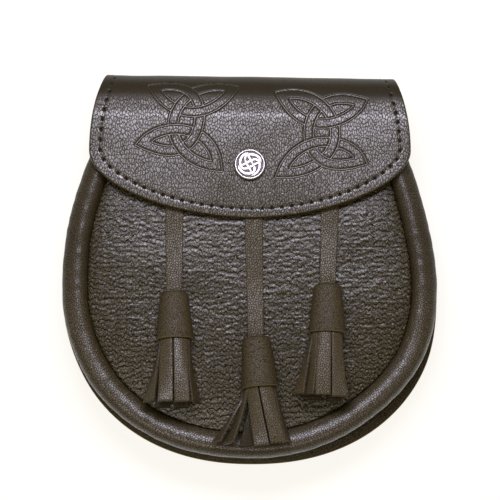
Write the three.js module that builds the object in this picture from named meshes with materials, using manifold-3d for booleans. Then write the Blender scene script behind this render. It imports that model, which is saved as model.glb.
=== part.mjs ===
// A leather day sporran, lying on its back: a pear-shaped pouch with a rolled edge, a folded-over
// flap held by a press stud, and three leather tassels. Millimetres, X across, Y towards the fold,
// Z out of the front. The origin is the middle of the outline, on the surface that it lies on.
import * as THREE from "three";
import { mergeVertices } from "three/addons/utils/BufferGeometryUtils.js";
import Module from "manifold-3d";

const wasm = await Module();
wasm.setup();

// Gap between pieces that are sewn, riveted or laid on each other
const GAP = 0.3;

// Pouch outline: a superellipse below its widest line, an easing curve up to the straight top edge
const HALF_WIDTH = 90;
const BOTTOM_Y = -92.5;
const WIDEST_Y = -10;
const OUTLINE_POWER = 2.2;
const BACK_TOP_Y = 80;
const TOP_HALF_WIDTH = 66;
const TOP_SIDE_SLOPE = -0.3;
const BOTTOM_FLAT_HALF = 4;

// Belt loop, a flat strip under the back panel, which the panel rises over
const LOOP_WIDTH = 62;
const LOOP_LENGTH = 44;
const LOOP_THICKNESS = 1.6;
const LOOP_CORNER = 4;
const LOOP_BOTTOM_Y = 6;
const BACK_RISE_FROM_Y = -58;
const BACK_RISE_TO_Y = 4;

// Back panel, gusset, rolled edge and front panel
const BACK_THICKNESS = 2.2;
const GUSSET_THICKNESS = 1.4;
const GUSSET_RIM_INSET = 1.2;
const GUSSET_WALL_INSET = 8.6;
const MOUTH_Y = 66;
const ROLL_HALF_WIDTH = 6;
const ROLL_HALF_HEIGHT = 5.5;
const ROLL_INSET = 7;
const ROLL_Z = 23.5;
const PANEL_THICKNESS = 2;
const PANEL_EDGE_Z = 24;
const PANEL_DOME = 4.5;

// Flap: its tail is sewn inside the back panel, it folds over the mouth and hangs to a round edge
const FLAP_THICKNESS = 2.4;
const FOLD_TOP_Y = 92.5;
const FOLD_RADIUS = 14;
const TAIL_END_Y = 60;
const TAIL_HALF_WIDTH = 60;
const WAIST_HALF_WIDTH = 70;
const FLAP_HALF_WIDTH = 77.5;
const FLAP_WIDEST_Y = 54;
const FLAP_TIP_Y = 22;
const FLAP_EDGE_POWER = 1.85;
const FLAP_SLOPE = 0.015;
const FLAP_CROWN = 1.8;
const FLAP_DIMPLE = 1;
const DIMPLE_FLAT_RADIUS = 11;
const DIMPLE_RADIUS = 30;

// Press stud through the flap, and the base that it snaps on
const STUD_Y = 48;
const STUD_RADIUS = 7.5;
const STUD_RIM_HEIGHT = 2;
const STUD_FIELD_HEIGHT = 1.5;
const STUD_SHANK_RADIUS = 3;
const SOCKET_RADIUS = 5;
const SOCKET_THICKNESS = 1;
const SOCKET_DEPTH = 1.4;
const NUB_RADIUS = 1.9;
const BASE_THICKNESS = 0.8;
const KNOT_BAND = 1.5;
const KNOT_HEIGHT = 0.45;

// Cap of the stud, from its underside out round the rim to the sunk field: inset from the stud's
// radius, and height
const CAP_PROFILE = [
  [0.4, 0],
  [0, 0.7],
  [0.3, STUD_RIM_HEIGHT - 0.3],
  [0.7, STUD_RIM_HEIGHT],
  [1.2, STUD_RIM_HEIGHT - 0.1],
  [1.4, STUD_FIELD_HEIGHT],
];

// A quarter of the interlace on the stud, as points of its middle line: in as a bar past the centre,
// out again, and along the rim. Both ends dip under the next quarters, each a quarter turn on.
const KNOT_QUARTER = [
  [-0.9, 4.3],
  [-0.5, 3.5],
  [0.5, 1.9],
  [1.3, 0.35],
  [1.9, -0.9],
  [2.4, -2.2],
  [2.1, -3.6],
  [0.8, -4.5],
  [-1.1, -4.7],
  [-3.2, -4.1],
  [-4.7, -2.8],
  [-5.1, -1.6],
  [-4.8, -0.8],
];

// Tassels: a strap, a wrapped bell and strips cut from one rolled piece
const STRAP_THICKNESS = 1.8;
const STRAP_TOP_Y = 41;
const STRAP_TOP_WIDTH = 9;
const STRAP_END_WIDTH = 7.4;
const STRAP_RISE = 16;
const STRAP_LIFT = 0.45;
const BELL_WALL = 1.3;
const BELL_TOP_LIFT = 1;
const BELL_DROP_LIMIT = 1;
const HEAD_TOP_SHARE = 0.14;
const HEAD_WAIST_SHARE = 0.4;
const HEAD_END_INSET = 2;
const STRIP_THICKNESS = 1.8;
const STRIP_END_WIDTH = 8;
const STRIP_ROOT = 7;
const STRIP_SPLAY_POWER = 1.15;

// Outside of a bell at distances from its top, as shares of its length and half sizes of its section
const BELL_ROWS = [
  { along: 0, half: 5.7, thick: 3.5 },
  { along: 0.06, half: 6.4, thick: 4.4 },
  { along: 0.35, half: 7.3, thick: 5.1 },
  { along: 1, half: 9, thick: 6.4 },
];

// One row for each tassel: strap's top, bell's top and lean, and its strips. Each strip leaves the
// bell's mouth round an angle of its oval (90 faces front), and ends flat at x, z, facing an angle.
const TASSELS = [
  {
    name: "left",
    strapX: -37,
    bellX: -36.8,
    bellY: -13.6,
    bellLength: 22.8,
    leanDeg: 1.5,
    strips: [
      { angle: 122, span: 50, endX: -5.0, endZ: 2.8, face: 92, length: 30.5 },
      { angle: 62, span: 50, endX: 3.4, endZ: 2.6, face: 88, length: 30.8 },
      { angle: 2, span: 60, endX: 9.6, endZ: 0.4, face: 40, length: 30.2 },
      { angle: 180, span: 60, endX: -14.2, endZ: -1.2, face: 128, length: 29.5 },
      { angle: 240, span: 50, endX: -6.6, endZ: -2.6, face: 268, length: 30 },
      { angle: 300, span: 50, endX: 3, endZ: -2.6, face: 272, length: 30 },
    ],
  },
  {
    name: "middle",
    strapX: 0.5,
    bellX: 1.9,
    bellY: -35.1,
    bellLength: 24.2,
    leanDeg: 4.6,
    strips: [
      { angle: 122, span: 50, endX: -1.6, endZ: 3.4, face: 94, length: 27.6 },
      { angle: 62, span: 50, endX: 7.4, endZ: 3.2, face: 84, length: 27.4 },
      { angle: 2, span: 60, endX: 11.6, endZ: -1.2, face: 30, length: 26.4 },
      { angle: 165, span: 42, endX: -16.8, endZ: 1.4, face: 138, length: 25.6 },
      { angle: 208, span: 40, endX: -22.4, endZ: 0.4, face: 138, length: 24.2 },
      { angle: 256, span: 46, endX: -8.6, endZ: -1.9, face: 266, length: 26.6 },
      { angle: 308, span: 46, endX: 1.6, endZ: -1.9, face: 272, length: 26.4 },
    ],
  },
  {
    name: "right",
    strapX: 37.7,
    bellX: 35.8,
    bellY: -10.1,
    bellLength: 23.4,
    leanDeg: -0.9,
    strips: [
      { angle: 128, span: 44, endX: -9.2, endZ: 1.9, face: 104, length: 29.6 },
      { angle: 84, span: 40, endX: -1.2, endZ: 3.0, face: 92, length: 30.6 },
      { angle: 42, span: 40, endX: 6.6, endZ: 2.4, face: 80, length: 30.8 },
      { angle: -8, span: 54, endX: 9.8, endZ: -0.9, face: 10, length: 30 },
      { angle: 182, span: 56, endX: -14.4, endZ: -0.9, face: 128, length: 29.6 },
      { angle: 240, span: 50, endX: -6, endZ: -2.6, face: 268, length: 30 },
      { angle: 300, span: 50, endX: 3.4, endZ: -2.6, face: 272, length: 30 },
    ],
  },
];

// Faceting
const LOWER_STEPS = 12;
const UPPER_STEPS = 6;
const ROLL_SIDES = 12;
const PANEL_COLUMNS = 12;
const FLAP_COLUMNS = 16;
const FOLD_STEPS = 8;
const FLAP_UPPER_STEPS = 3;
const FLAP_EDGE_STEPS = 8;
const BELL_SIDES = 14;
const ROUND_SIDES = 24;
const CORNER_STEPS = 3;
const KNOT_STEPS = 14;
const STRAP_STEPS = 9;
const STRIP_STEPS = 3;
const SLOPE_STEP = 0.01;

const grainLeather = new THREE.MeshStandardMaterial({ color: "#4d453b", roughness: 0.55 });
const flapLeather = new THREE.MeshStandardMaterial({ color: "#5a5249", roughness: 0.45 });
const smoothLeather = new THREE.MeshStandardMaterial({ color: "#473f34", roughness: 0.5 });
const backLeather = new THREE.MeshStandardMaterial({ color: "#3f382e", roughness: 0.7 });
const antiqueSilver = new THREE.MeshStandardMaterial({ color: "#d2cfd2", roughness: 0.3, metalness: 1 });

const point = (x, y, z) => new THREE.Vector3(x, y, z);
const steps = (count) => Array.from({ length: count + 1 }, (_, i) => i / count);
const { lerp, smoothstep, degToRad } = THREE.MathUtils;

// A closed solid through rings of equal point counts: capped ends, or the last ring joined to the first
function loft(rings, joined = false) {
  const sides = rings[0].length;
  const index = [];
  const bands = joined ? rings.length : rings.length - 1;
  for (let r = 0; r < bands; r++) {
    const here = r * sides;
    const next = ((r + 1) % rings.length) * sides;
    for (let k = 0; k < sides; k++) {
      const j = (k + 1) % sides;
      index.push(here + k, here + j, next + j, here + k, next + j, next + k);
    }
  }
  if (!joined) {
    const last = (rings.length - 1) * sides;
    for (const [a, b, c] of capFaces(rings[0])) index.push(c, b, a);
    for (const [a, b, c] of capFaces(rings.at(-1))) index.push(last + a, last + b, last + c);
  }
  const geometry = new THREE.BufferGeometry().setFromPoints(rings.flat());
  geometry.setIndex(facingOut(geometry, index));
  return geometry;
}

// Triangles of a flat ring, turned the way that its own points run
function capFaces(ring) {
  const normal = point(0, 0, 0);
  ring.forEach((p, i) => normal.add(p.clone().cross(ring[(i + 1) % ring.length])));
  const across = ring[1].clone().sub(ring[0]).normalize();
  const up = normal.normalize().clone().cross(across);
  const flat = ring.map((p) => new THREE.Vector2(p.dot(across), p.dot(up)));
  return THREE.ShapeUtils.triangulateShape(flat, []);
}

// The same triangles, all turned round where they enclose a negative volume
function facingOut(geometry, index) {
  const at = (i) => new THREE.Vector3().fromBufferAttribute(geometry.attributes.position, i);
  let volume = 0;
  for (let i = 0; i < index.length; i += 3) {
    volume += at(index[i]).dot(at(index[i + 1]).cross(at(index[i + 2])));
  }
  return volume < 0 ? index.toReversed() : index;
}

// A geometry as a solid for joining and cutting, and back again
function solidOf(geometry) {
  const bare = geometry.clone();
  bare.deleteAttribute("normal");
  bare.deleteAttribute("uv");
  const merged = mergeVertices(bare, 1e-4);
  const vertProperties = new Float32Array(merged.attributes.position.array);
  const triVerts = new Uint32Array(merged.index.array);
  return new wasm.Manifold(new wasm.Mesh({ numProp: 3, vertProperties, triVerts }));
}

function geometryOf(solid) {
  const mesh = solid.getMesh();
  const geometry = new THREE.BufferGeometry();
  geometry.setAttribute("position", new THREE.BufferAttribute(mesh.vertProperties.slice(), 3));
  geometry.setIndex(new THREE.BufferAttribute(mesh.triVerts.slice(), 1));
  return geometry;
}

function piece(name, geometry, material) {
  geometry.computeVertexNormals();
  const mesh = new THREE.Mesh(geometry, material);
  mesh.name = name;
  return mesh;
}

// Half width of the pouch above its widest line
function sideHalfWidth(y) {
  const rise = BACK_TOP_Y - WIDEST_Y;
  const t = (y - WIDEST_Y) / rise;
  const ease = t * t * (3 - 2 * t);
  const endSlope = (t * t * t - t * t) * rise * TOP_SIDE_SLOPE;
  return lerp(HALF_WIDTH, TOP_HALF_WIDTH, ease) + endSlope;
}

// Right half of the outline, moved in by an inset, as points from the bottom up to a top line
function rightRim(inset, topY) {
  const lower = steps(LOWER_STEPS).map((t) => {
    const angle = (t * Math.PI) / 2;
    const x = (HALF_WIDTH - inset) * Math.sin(angle) ** (2 / OUTLINE_POWER);
    const drop = (WIDEST_Y - BOTTOM_Y - inset) * Math.cos(angle) ** (2 / OUTLINE_POWER);
    return new THREE.Vector2(x, WIDEST_Y - drop);
  });
  lower[0].x = BOTTOM_FLAT_HALF;
  lower[LOWER_STEPS].y = WIDEST_Y;
  const upper = steps(UPPER_STEPS).slice(1).map((t) => {
    const y = lerp(WIDEST_Y, topY, t);
    return new THREE.Vector2(sideHalfWidth(y) - inset, y);
  });
  return [...lower, ...upper];
}

// The whole U of the outline, from the left top round the bottom to the right top
function rimLoop(inset, topY) {
  const right = rightRim(inset, topY);
  const left = right.map((p) => new THREE.Vector2(-p.x, p.y)).reverse();
  return [...left, ...right];
}

// 0 on the pouch's middle line, 1 on the outline moved in by an inset
function rimShare(x, y, inset) {
  if (y > WIDEST_Y) return Math.abs(x) / (sideHalfWidth(y) - inset);
  const across = Math.abs(x) / (HALF_WIDTH - inset);
  const down = (WIDEST_Y - y) / (WIDEST_Y - BOTTOM_Y - inset);
  return (across ** OUTLINE_POWER + down ** OUTLINE_POWER) ** (1 / OUTLINE_POWER);
}

// Underside of the back panel: flat on the surface below, lifted over the belt loop above
function backUnderside(y) {
  return (LOOP_THICKNESS + GAP) * smoothstep(y, BACK_RISE_FROM_Y, BACK_RISE_TO_Y);
}

function backTopside(y) {
  return backUnderside(y) + BACK_THICKNESS;
}

// Outer face of the domed front panel
const panelInset = ROLL_INSET + ROLL_HALF_WIDTH + GAP;

function panelTopside(x, y) {
  return PANEL_EDGE_Z + PANEL_DOME * (1 - Math.min(1, rimShare(x, y, panelInset)) ** 2);
}

function backPanel() {
  const rings = rightRim(0, BACK_TOP_Y).map(({ x, y }) => {
    const low = backUnderside(y);
    const high = backTopside(y);
    return [point(-x, y, low), point(x, y, low), point(x, y, high), point(-x, y, high)];
  });
  return piece("back_panel", loft(rings), backLeather);
}

function beltLoop() {
  const [x, low, high] = [LOOP_WIDTH / 2, LOOP_BOTTOM_Y, LOOP_BOTTOM_Y + LOOP_LENGTH];
  const r = LOOP_CORNER;
  const shape = new THREE.Shape()
    .moveTo(r - x, low)
    .absarc(x - r, low + r, r, -Math.PI / 2, 0)
    .absarc(x - r, high - r, r, 0, Math.PI / 2)
    .absarc(r - x, high - r, r, Math.PI / 2, Math.PI)
    .absarc(r - x, low + r, r, Math.PI, Math.PI * 1.5);
  const strip = { depth: LOOP_THICKNESS, bevelEnabled: false, curveSegments: CORNER_STEPS };
  return piece("belt_loop", new THREE.ExtrudeGeometry(shape, strip), backLeather);
}

// A bent strip: its rim lies on the back panel, and its wall stands up to the rolled edge
function gusset() {
  const rim = rimLoop(GUSSET_RIM_INSET, MOUTH_Y);
  const outside = rimLoop(GUSSET_WALL_INSET - GUSSET_THICKNESS, MOUTH_Y);
  const inside = rimLoop(GUSSET_WALL_INSET, MOUTH_Y);
  const top = ROLL_Z - ROLL_HALF_HEIGHT - GAP;
  const rings = rim.map((edge, i) => {
    const low = backTopside(edge.y) + GAP;
    const high = low + GUSSET_THICKNESS;
    return [
      point(edge.x, edge.y, low),
      point(inside[i].x, inside[i].y, low),
      point(inside[i].x, inside[i].y, top),
      point(outside[i].x, outside[i].y, top),
      point(outside[i].x, outside[i].y, high),
      point(edge.x, edge.y, high),
    ];
  });
  return piece("gusset", loft(rings), smoothLeather);
}

// Padded leather roll round the front panel, with an oval section
function edgeRoll() {
  const section = steps(ROLL_SIDES).slice(1).map((t) => {
    const angle = t * 2 * Math.PI;
    const inset = ROLL_INSET - ROLL_HALF_WIDTH * Math.cos(angle);
    return { line: rimLoop(inset, MOUTH_Y), z: ROLL_Z + ROLL_HALF_HEIGHT * Math.sin(angle) };
  });
  const stations = section[0].line.length;
  const rings = Array.from({ length: stations }, (_, i) =>
    section.map(({ line, z }) => point(line[i].x, line[i].y, z)),
  );
  return piece("edge_roll", loft(rings), smoothLeather);
}

function frontPanel() {
  const across = steps(PANEL_COLUMNS).map((t) => 2 * t - 1);
  const rings = rightRim(panelInset, MOUTH_Y).map(({ x: half, y }) => {
    const outer = across.map((u) => point(u * half, y, panelTopside(u * half, y)));
    const inner = outer.map((p) => point(p.x, p.y, p.z - PANEL_THICKNESS)).reverse();
    return [...outer, ...inner];
  });
  return piece("front_panel", loft(rings), grainLeather);
}

// Middle of the flap's leather as rows from the sewn tail, over the fold, to the round edge:
// place and outward direction in side view, and half width
const foldY = FOLD_TOP_Y - FOLD_RADIUS - FLAP_THICKNESS / 2;
const tailZ = backTopside(BACK_TOP_Y) + GAP + FLAP_THICKNESS / 2;
const foldZ = tailZ + FOLD_RADIUS;
const flapFrontZ = (y) => foldZ + FOLD_RADIUS - FLAP_SLOPE * (foldY - y);

function flapSideHalfWidth(y) {
  const share = Math.max(0, y - FLAP_WIDEST_Y) / (FOLD_TOP_Y - FLAP_WIDEST_Y);
  return FLAP_HALF_WIDTH - (FLAP_HALF_WIDTH - WAIST_HALF_WIDTH) * share * share;
}

function flapRows() {
  const tail = { y: TAIL_END_Y, z: tailZ, outY: 0, outZ: -1, half: TAIL_HALF_WIDTH };
  const fold = steps(FOLD_STEPS).map((t) => {
    const outY = Math.sin(t * Math.PI);
    const outZ = -Math.cos(t * Math.PI);
    const y = foldY + FOLD_RADIUS * outY;
    const behind = lerp(TAIL_HALF_WIDTH, WAIST_HALF_WIDTH, outY);
    const half = t < 0.5 ? behind : flapSideHalfWidth(y);
    return { y, z: foldZ + FOLD_RADIUS * outZ, outY, outZ, half };
  });
  const upper = steps(FLAP_UPPER_STEPS).slice(1).map((t) => {
    const y = lerp(foldY, FLAP_WIDEST_Y, t);
    return { y, z: flapFrontZ(y), outY: 0, outZ: 1, half: flapSideHalfWidth(y) };
  });
  const edge = steps(FLAP_EDGE_STEPS).slice(1).map((t) => {
    const angle = (t * Math.PI) / 2;
    const drop = (FLAP_WIDEST_Y - FLAP_TIP_Y) * Math.sin(angle) ** (2 / FLAP_EDGE_POWER);
    const half = FLAP_HALF_WIDTH * Math.abs(Math.cos(angle)) ** (2 / FLAP_EDGE_POWER);
    const y = FLAP_WIDEST_Y - drop;
    return { y, z: flapFrontZ(y), outY: 0, outZ: 1, half: Math.max(half, BOTTOM_FLAT_HALF) };
  });
  return [tail, ...fold, ...upper, ...edge];
}

// How far the hanging face lies below its straight line: lower at its sides and round the stud
function flapSag(x, y) {
  const crown = FLAP_CROWN * (x / FLAP_HALF_WIDTH) ** 2 * (1 - smoothstep(y, FLAP_WIDEST_Y, foldY));
  const fromStud = Math.hypot(x, y - STUD_Y);
  return crown + FLAP_DIMPLE * (1 - smoothstep(fromStud, DIMPLE_FLAT_RADIUS, DIMPLE_RADIUS));
}

function flap() {
  const across = steps(FLAP_COLUMNS).map((t) => 2 * t - 1);
  const rings = flapRows().map(({ y, z, outY, outZ, half }) => {
    const face = (side) =>
      across.map((u) => {
        const x = u * half;
        const sag = outZ === 1 ? flapSag(x, y) : 0;
        const out = (side * FLAP_THICKNESS) / 2;
        return point(x, y + out * outY, z - sag + out * outZ);
      });
    return [...face(1), ...face(-1).reverse()];
  });
  const holeRadius = STUD_SHANK_RADIUS + GAP;
  const hole = new THREE.CylinderGeometry(holeRadius, holeRadius, FOLD_RADIUS, ROUND_SIDES);
  hole.rotateX(Math.PI / 2).translate(0, STUD_Y, studZ);
  return piece("flap", geometryOf(solidOf(loft(rings)).subtract(solidOf(hole))), flapLeather);
}

// Height of the flap's outer face at the stud
const studZ = flapFrontZ(STUD_Y) - FLAP_DIMPLE + FLAP_THICKNESS / 2;

// One raised quarter of the interlace, narrower at its top
const knotLine = new THREE.CatmullRomCurve3(KNOT_QUARTER.map(([x, y]) => point(x, y, 0)));

function knotBand() {
  const foot = STUD_FIELD_HEIGHT - KNOT_HEIGHT;
  const high = STUD_FIELD_HEIGHT + KNOT_HEIGHT;
  const rings = steps(KNOT_STEPS).map((t) => {
    const here = knotLine.getPoint(t);
    const along = knotLine.getTangent(t);
    const side = point(-along.y, along.x, 0).multiplyScalar(KNOT_BAND / 2);
    return [
      point(here.x - side.x, here.y - side.y, foot),
      point(here.x + side.x, here.y + side.y, foot),
      point(here.x + side.x / 2, here.y + side.y / 2, high),
      point(here.x - side.x / 2, here.y - side.y / 2, high),
    ];
  });
  return solidOf(loft(rings));
}

// A round solid about Z from a profile of radius and height
function turned(profile) {
  const geometry = new THREE.LatheGeometry(profile.map(([r, z]) => new THREE.Vector2(r, z)), ROUND_SIDES);
  return solidOf(geometry.rotateX(Math.PI / 2));
}

// Cap with a raised rim and knot, shank through the flap, and the socket under it: one riveted solid.
// Heights are from the underside of its cap.
function stud() {
  const socketTop = -GAP - FLAP_THICKNESS - GAP;
  const socketLow = socketTop - SOCKET_THICKNESS;
  const hollow = NUB_RADIUS + GAP;
  let solid = turned([
    [0, socketLow + SOCKET_DEPTH],
    [hollow, socketLow + SOCKET_DEPTH],
    [hollow, socketLow],
    [SOCKET_RADIUS, socketLow],
    [SOCKET_RADIUS, socketTop],
    [STUD_SHANK_RADIUS, socketTop],
    [STUD_SHANK_RADIUS, 0],
    ...CAP_PROFILE.map(([inset, height]) => [STUD_RADIUS - inset, height]),
    [0, STUD_FIELD_HEIGHT],
  ]);
  for (const turnDeg of [0, 90, 180, 270]) solid = solid.add(knotBand().rotate([0, 0, turnDeg]));
  const mesh = piece("stud", geometryOf(solid), antiqueSilver);
  mesh.position.set(0, STUD_Y, studZ + GAP);
  return mesh;
}

// The hidden half of the press stud: a disc on the front panel with a nub that enters the socket
function studBase() {
  const nubTop = studZ - FLAP_THICKNESS - GAP - SOCKET_THICKNESS + SOCKET_DEPTH - GAP;
  const foot = panelTopside(0, STUD_Y) + GAP;
  const solid = turned([
    [0, 0],
    [SOCKET_RADIUS, 0],
    [SOCKET_RADIUS, BASE_THICKNESS],
    [NUB_RADIUS, BASE_THICKNESS],
    [NUB_RADIUS, nubTop - foot],
    [0, nubTop - foot],
  ]);
  const mesh = piece("stud_base", geometryOf(solid), antiqueSilver);
  mesh.position.set(0, STUD_Y, foot);
  return mesh;
}

// Where a tassel's bell starts, and how its axis lies: along the front panel, on its flank
function tasselFrame({ bellX, bellY, bellLength, leanDeg }) {
  const lean = degToRad(leanDeg);
  const endX = bellX + bellLength * Math.sin(lean);
  const endY = bellY - bellLength * Math.cos(lean);
  const [top, mouth] = [BELL_ROWS[0], BELL_ROWS.at(-1)];
  const startZ = panelTopside(bellX, bellY) + GAP + top.thick + BELL_TOP_LIFT;
  const lowest = panelTopside(bellX, bellY) - BELL_DROP_LIMIT;
  const endZ = Math.max(panelTopside(endX, endY), lowest) + GAP + mouth.thick;
  const group = new THREE.Group();
  group.position.set(bellX, bellY, startZ);
  group.rotation.set(Math.asin((startZ - endZ) / bellLength), 0, lean, "ZXY");
  return group;
}

// Half sizes of the bell's section at a distance from its top, less a wall
function bellSection(share, wall) {
  const next = Math.max(1, BELL_ROWS.findIndex((row) => row.along >= share));
  const [a, b] = [BELL_ROWS[next - 1], BELL_ROWS[next]];
  const t = (share - a.along) / (b.along - a.along);
  return { half: lerp(a.half, b.half, t) - wall, thick: lerp(a.thick, b.thick, t) - wall };
}

function ovalRing(y, { half, thick }) {
  return steps(BELL_SIDES).slice(1).map((t) => {
    const angle = t * 2 * Math.PI;
    return point(half * Math.cos(angle), y, thick * Math.sin(angle));
  });
}

// A wrapped leather bell, open at both ends
function bell({ name, bellLength }) {
  const outside = BELL_ROWS.map(({ along }) => ovalRing(-along * bellLength, bellSection(along, 0)));
  const inside = BELL_ROWS.map(({ along }) => ovalRing(-along * bellLength, bellSection(along, BELL_WALL)));
  return piece(`tassel_bell_${name}`, loft([...outside, ...inside.reverse()], true), smoothLeather);
}

// One strip: curved round the bell's oval at its root, flat at its free end
function strip(bellLength, { angle, span, endX, endZ, face, length }) {
  const inner = BELL_WALL + GAP + STRIP_THICKNESS;
  const across = [-1, 0, 1];
  const curved = (y, shrink) => {
    const share = Math.min(1, -y / bellLength);
    const arc = (side) => (u) => {
      const turn = degToRad(angle + (u * span) / 2);
      const { half, thick } = bellSection(share, side > 0 ? inner - STRIP_THICKNESS : inner);
      return point((half - shrink) * Math.cos(turn), y, (thick - shrink) * Math.sin(turn));
    };
    return [...across.map(arc(1)), ...across.map(arc(-1)).reverse()];
  };
  const out = new THREE.Vector2(Math.cos(degToRad(face)), Math.sin(degToRad(face)));
  const flat = (side) => (u) => {
    const along = (u * STRIP_END_WIDTH) / 2;
    const lift = (side * STRIP_THICKNESS) / 2;
    return point(endX - out.y * along + out.x * lift, 0, endZ + out.x * along + out.y * lift);
  };
  const end = [...across.map(flat(1)), ...across.map(flat(-1)).reverse()];
  const mouth = curved(-bellLength - GAP, 0);
  const free = steps(STRIP_STEPS).slice(1).map((t) =>
    mouth.map((p, k) => {
      const ease = t ** STRIP_SPLAY_POWER;
      return point(lerp(p.x, end[k].x, ease), p.y - t * length, lerp(p.z, end[k].z, ease));
    }),
  );
  return solidOf(loft([curved(STRIP_ROOT - bellLength, GAP), mouth, ...free]));
}

// The strips and the rolled head that they hang from, inside the bell, as one piece of leather
function fringe({ name, bellLength, strips }) {
  const headRows = [HEAD_TOP_SHARE, HEAD_WAIST_SHARE, 1 - HEAD_END_INSET / bellLength];
  const head = loft(headRows.map((share) => ovalRing(-share * bellLength, bellSection(share, BELL_WALL + GAP))));
  let solid = solidOf(head);
  for (const row of strips) solid = solid.add(strip(bellLength, row));
  return piece(`tassel_fringe_${name}`, geometryOf(solid), smoothLeather);
}

// A flat strap that follows the front panel, and rises at its end into the top of the bell
function strap(tassel, frame) {
  const { name, strapX, bellX, bellY, bellLength } = tassel;
  const endY = bellY - HEAD_TOP_SHARE * bellLength + 2 * GAP;
  const edge = (t, side) => {
    const x = lerp(strapX, bellX, t) + (side * lerp(STRAP_TOP_WIDTH, STRAP_END_WIDTH, t)) / 2;
    const y = lerp(STRAP_TOP_Y, endY, t);
    const lying = panelTopside(x, y) + STRAP_LIFT;
    const hung = frame.position.z - STRAP_THICKNESS / 2;
    return point(x, y, lerp(lying, hung, 1 - smoothstep(y, bellY, bellY + STRAP_RISE)));
  };
  const rings = steps(STRAP_STEPS).map((t) => {
    const along = edge(Math.min(1, t + SLOPE_STEP), 0).sub(edge(Math.max(0, t - SLOPE_STEP), 0));
    const out = point(0, along.z, -along.y).normalize().multiplyScalar(STRAP_THICKNESS);
    const [left, right] = [edge(t, -1), edge(t, 1)];
    return [left, right, right.clone().add(out), left.clone().add(out)];
  });
  return piece(`tassel_strap_${name}`, loft(rings), grainLeather);
}

const sporran = new THREE.Group();
sporran.name = "sporran";
sporran.add(backPanel(), beltLoop(), gusset(), edgeRoll(), frontPanel(), flap(), stud(), studBase());
for (const tassel of TASSELS) {
  const frame = tasselFrame(tassel);
  frame.add(bell(tassel), fringe(tassel));
  sporran.add(strap(tassel, frame), frame);
}

export default sporran;
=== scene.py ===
# A leather day sporran, lying on its back: a pear-shaped pouch with a rolled edge, a folded flap held
# by a press stud, and three leather tassels. X is across, Y towards the fold, Z out of the front.
import itertools
import math

import bpy
import numpy as np
from mathutils import Euler, Matrix, Vector


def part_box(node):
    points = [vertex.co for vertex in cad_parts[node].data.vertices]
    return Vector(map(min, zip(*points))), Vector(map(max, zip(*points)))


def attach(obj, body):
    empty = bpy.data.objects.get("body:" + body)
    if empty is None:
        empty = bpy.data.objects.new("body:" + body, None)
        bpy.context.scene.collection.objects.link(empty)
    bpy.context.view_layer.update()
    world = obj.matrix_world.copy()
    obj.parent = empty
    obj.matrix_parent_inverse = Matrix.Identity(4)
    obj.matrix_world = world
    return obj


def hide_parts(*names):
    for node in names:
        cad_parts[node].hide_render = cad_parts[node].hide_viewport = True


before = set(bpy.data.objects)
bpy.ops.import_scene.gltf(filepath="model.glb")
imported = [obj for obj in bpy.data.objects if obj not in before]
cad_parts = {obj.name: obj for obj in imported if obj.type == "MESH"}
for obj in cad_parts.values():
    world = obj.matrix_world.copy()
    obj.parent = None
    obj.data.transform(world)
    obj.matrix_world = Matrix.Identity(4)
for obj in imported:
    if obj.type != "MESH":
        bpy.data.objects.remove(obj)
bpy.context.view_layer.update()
MM = 0.001

# Camera, light and table
# The pouch is seen from nearly straight above, a little from the tassels' side, through a long lens.
# A softbox hangs behind the fold and a weaker one before the tassels, and a white table and a warm room
# fill the shadows.
CAMERA_DISTANCE = 1.4
CAMERA_ELEVATION = math.radians(81)
CAMERA_AZIMUTH = math.radians(2.5)
SENSOR_WIDTH = 36
VIEW_WIDTH = 240 * MM
AIM = Vector((-1.0 * MM, 9.4 * MM, 13 * MM))
ROOM_LIGHT = 0.29
TABLE_SIZE = 9.0

# Each softbox: place in metres, width and depth in metres, watts, colour
SOFTBOXES = {
    "softbox_behind": ((-0.005, 0.19, 0.46), (0.31, 0.125), 2.5, "#efedff"),
    "softbox_before": ((-0.05, -0.19, 0.45), (0.34, 0.14), 0.7, "#fbf2ea"),
}


def linear(hex_colour):
    """An sRGB hex colour as linear red, green, blue and alpha."""
    channels = np.array([int(hex_colour[k:k + 2], 16) for k in (1, 3, 5)]) / 255
    curve = np.where(channels <= 0.04045, channels / 12.92, ((channels + 0.055) / 1.055) ** 2.4)
    return (*curve, 1.0)


def feed(tree, node, inputs):
    """Fill a node's inputs: each with a value, a socket to link, or a node whose first output is linked."""
    for key, value in inputs.items():
        source = value.outputs[0] if isinstance(value, bpy.types.Node) else value
        if isinstance(source, bpy.types.NodeSocket):
            tree.links.new(source, node.inputs[key])
        else:
            node.inputs[key].default_value = source


def add_node(tree, kind, inputs=None, **settings):
    """One shader node of a kind, with its properties set and its inputs fed."""
    made = tree.nodes.new("ShaderNode" + kind)
    for name, value in settings.items():
        setattr(made, name, value)
    feed(tree, made, inputs or {})
    return made


def new_material(name):
    """A new node material, its tree and its Principled shader."""
    material = bpy.data.materials.new(name)
    material.use_nodes = True
    tree = material.node_tree
    return material, tree, tree.nodes["Principled BSDF"]


scene = bpy.context.scene
scene.view_settings.view_transform = "Standard"

camera_data = bpy.data.cameras.new("camera")
camera_data.sensor_width = SENSOR_WIDTH
camera_data.lens = SENSOR_WIDTH * CAMERA_DISTANCE / VIEW_WIDTH
camera = bpy.data.objects.new("camera", camera_data)
out_of_table = math.cos(CAMERA_ELEVATION)
view_from = Vector((
    math.sin(CAMERA_AZIMUTH) * out_of_table,
    -math.cos(CAMERA_AZIMUTH) * out_of_table,
    math.sin(CAMERA_ELEVATION),
))
camera.location = AIM + view_from * CAMERA_DISTANCE
to_right = Vector((0, 1, 0)).cross(view_from).normalized()
camera.rotation_euler = Matrix((to_right, view_from.cross(to_right), view_from)).transposed().to_euler()
scene.collection.objects.link(camera)
scene.camera = camera

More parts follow.
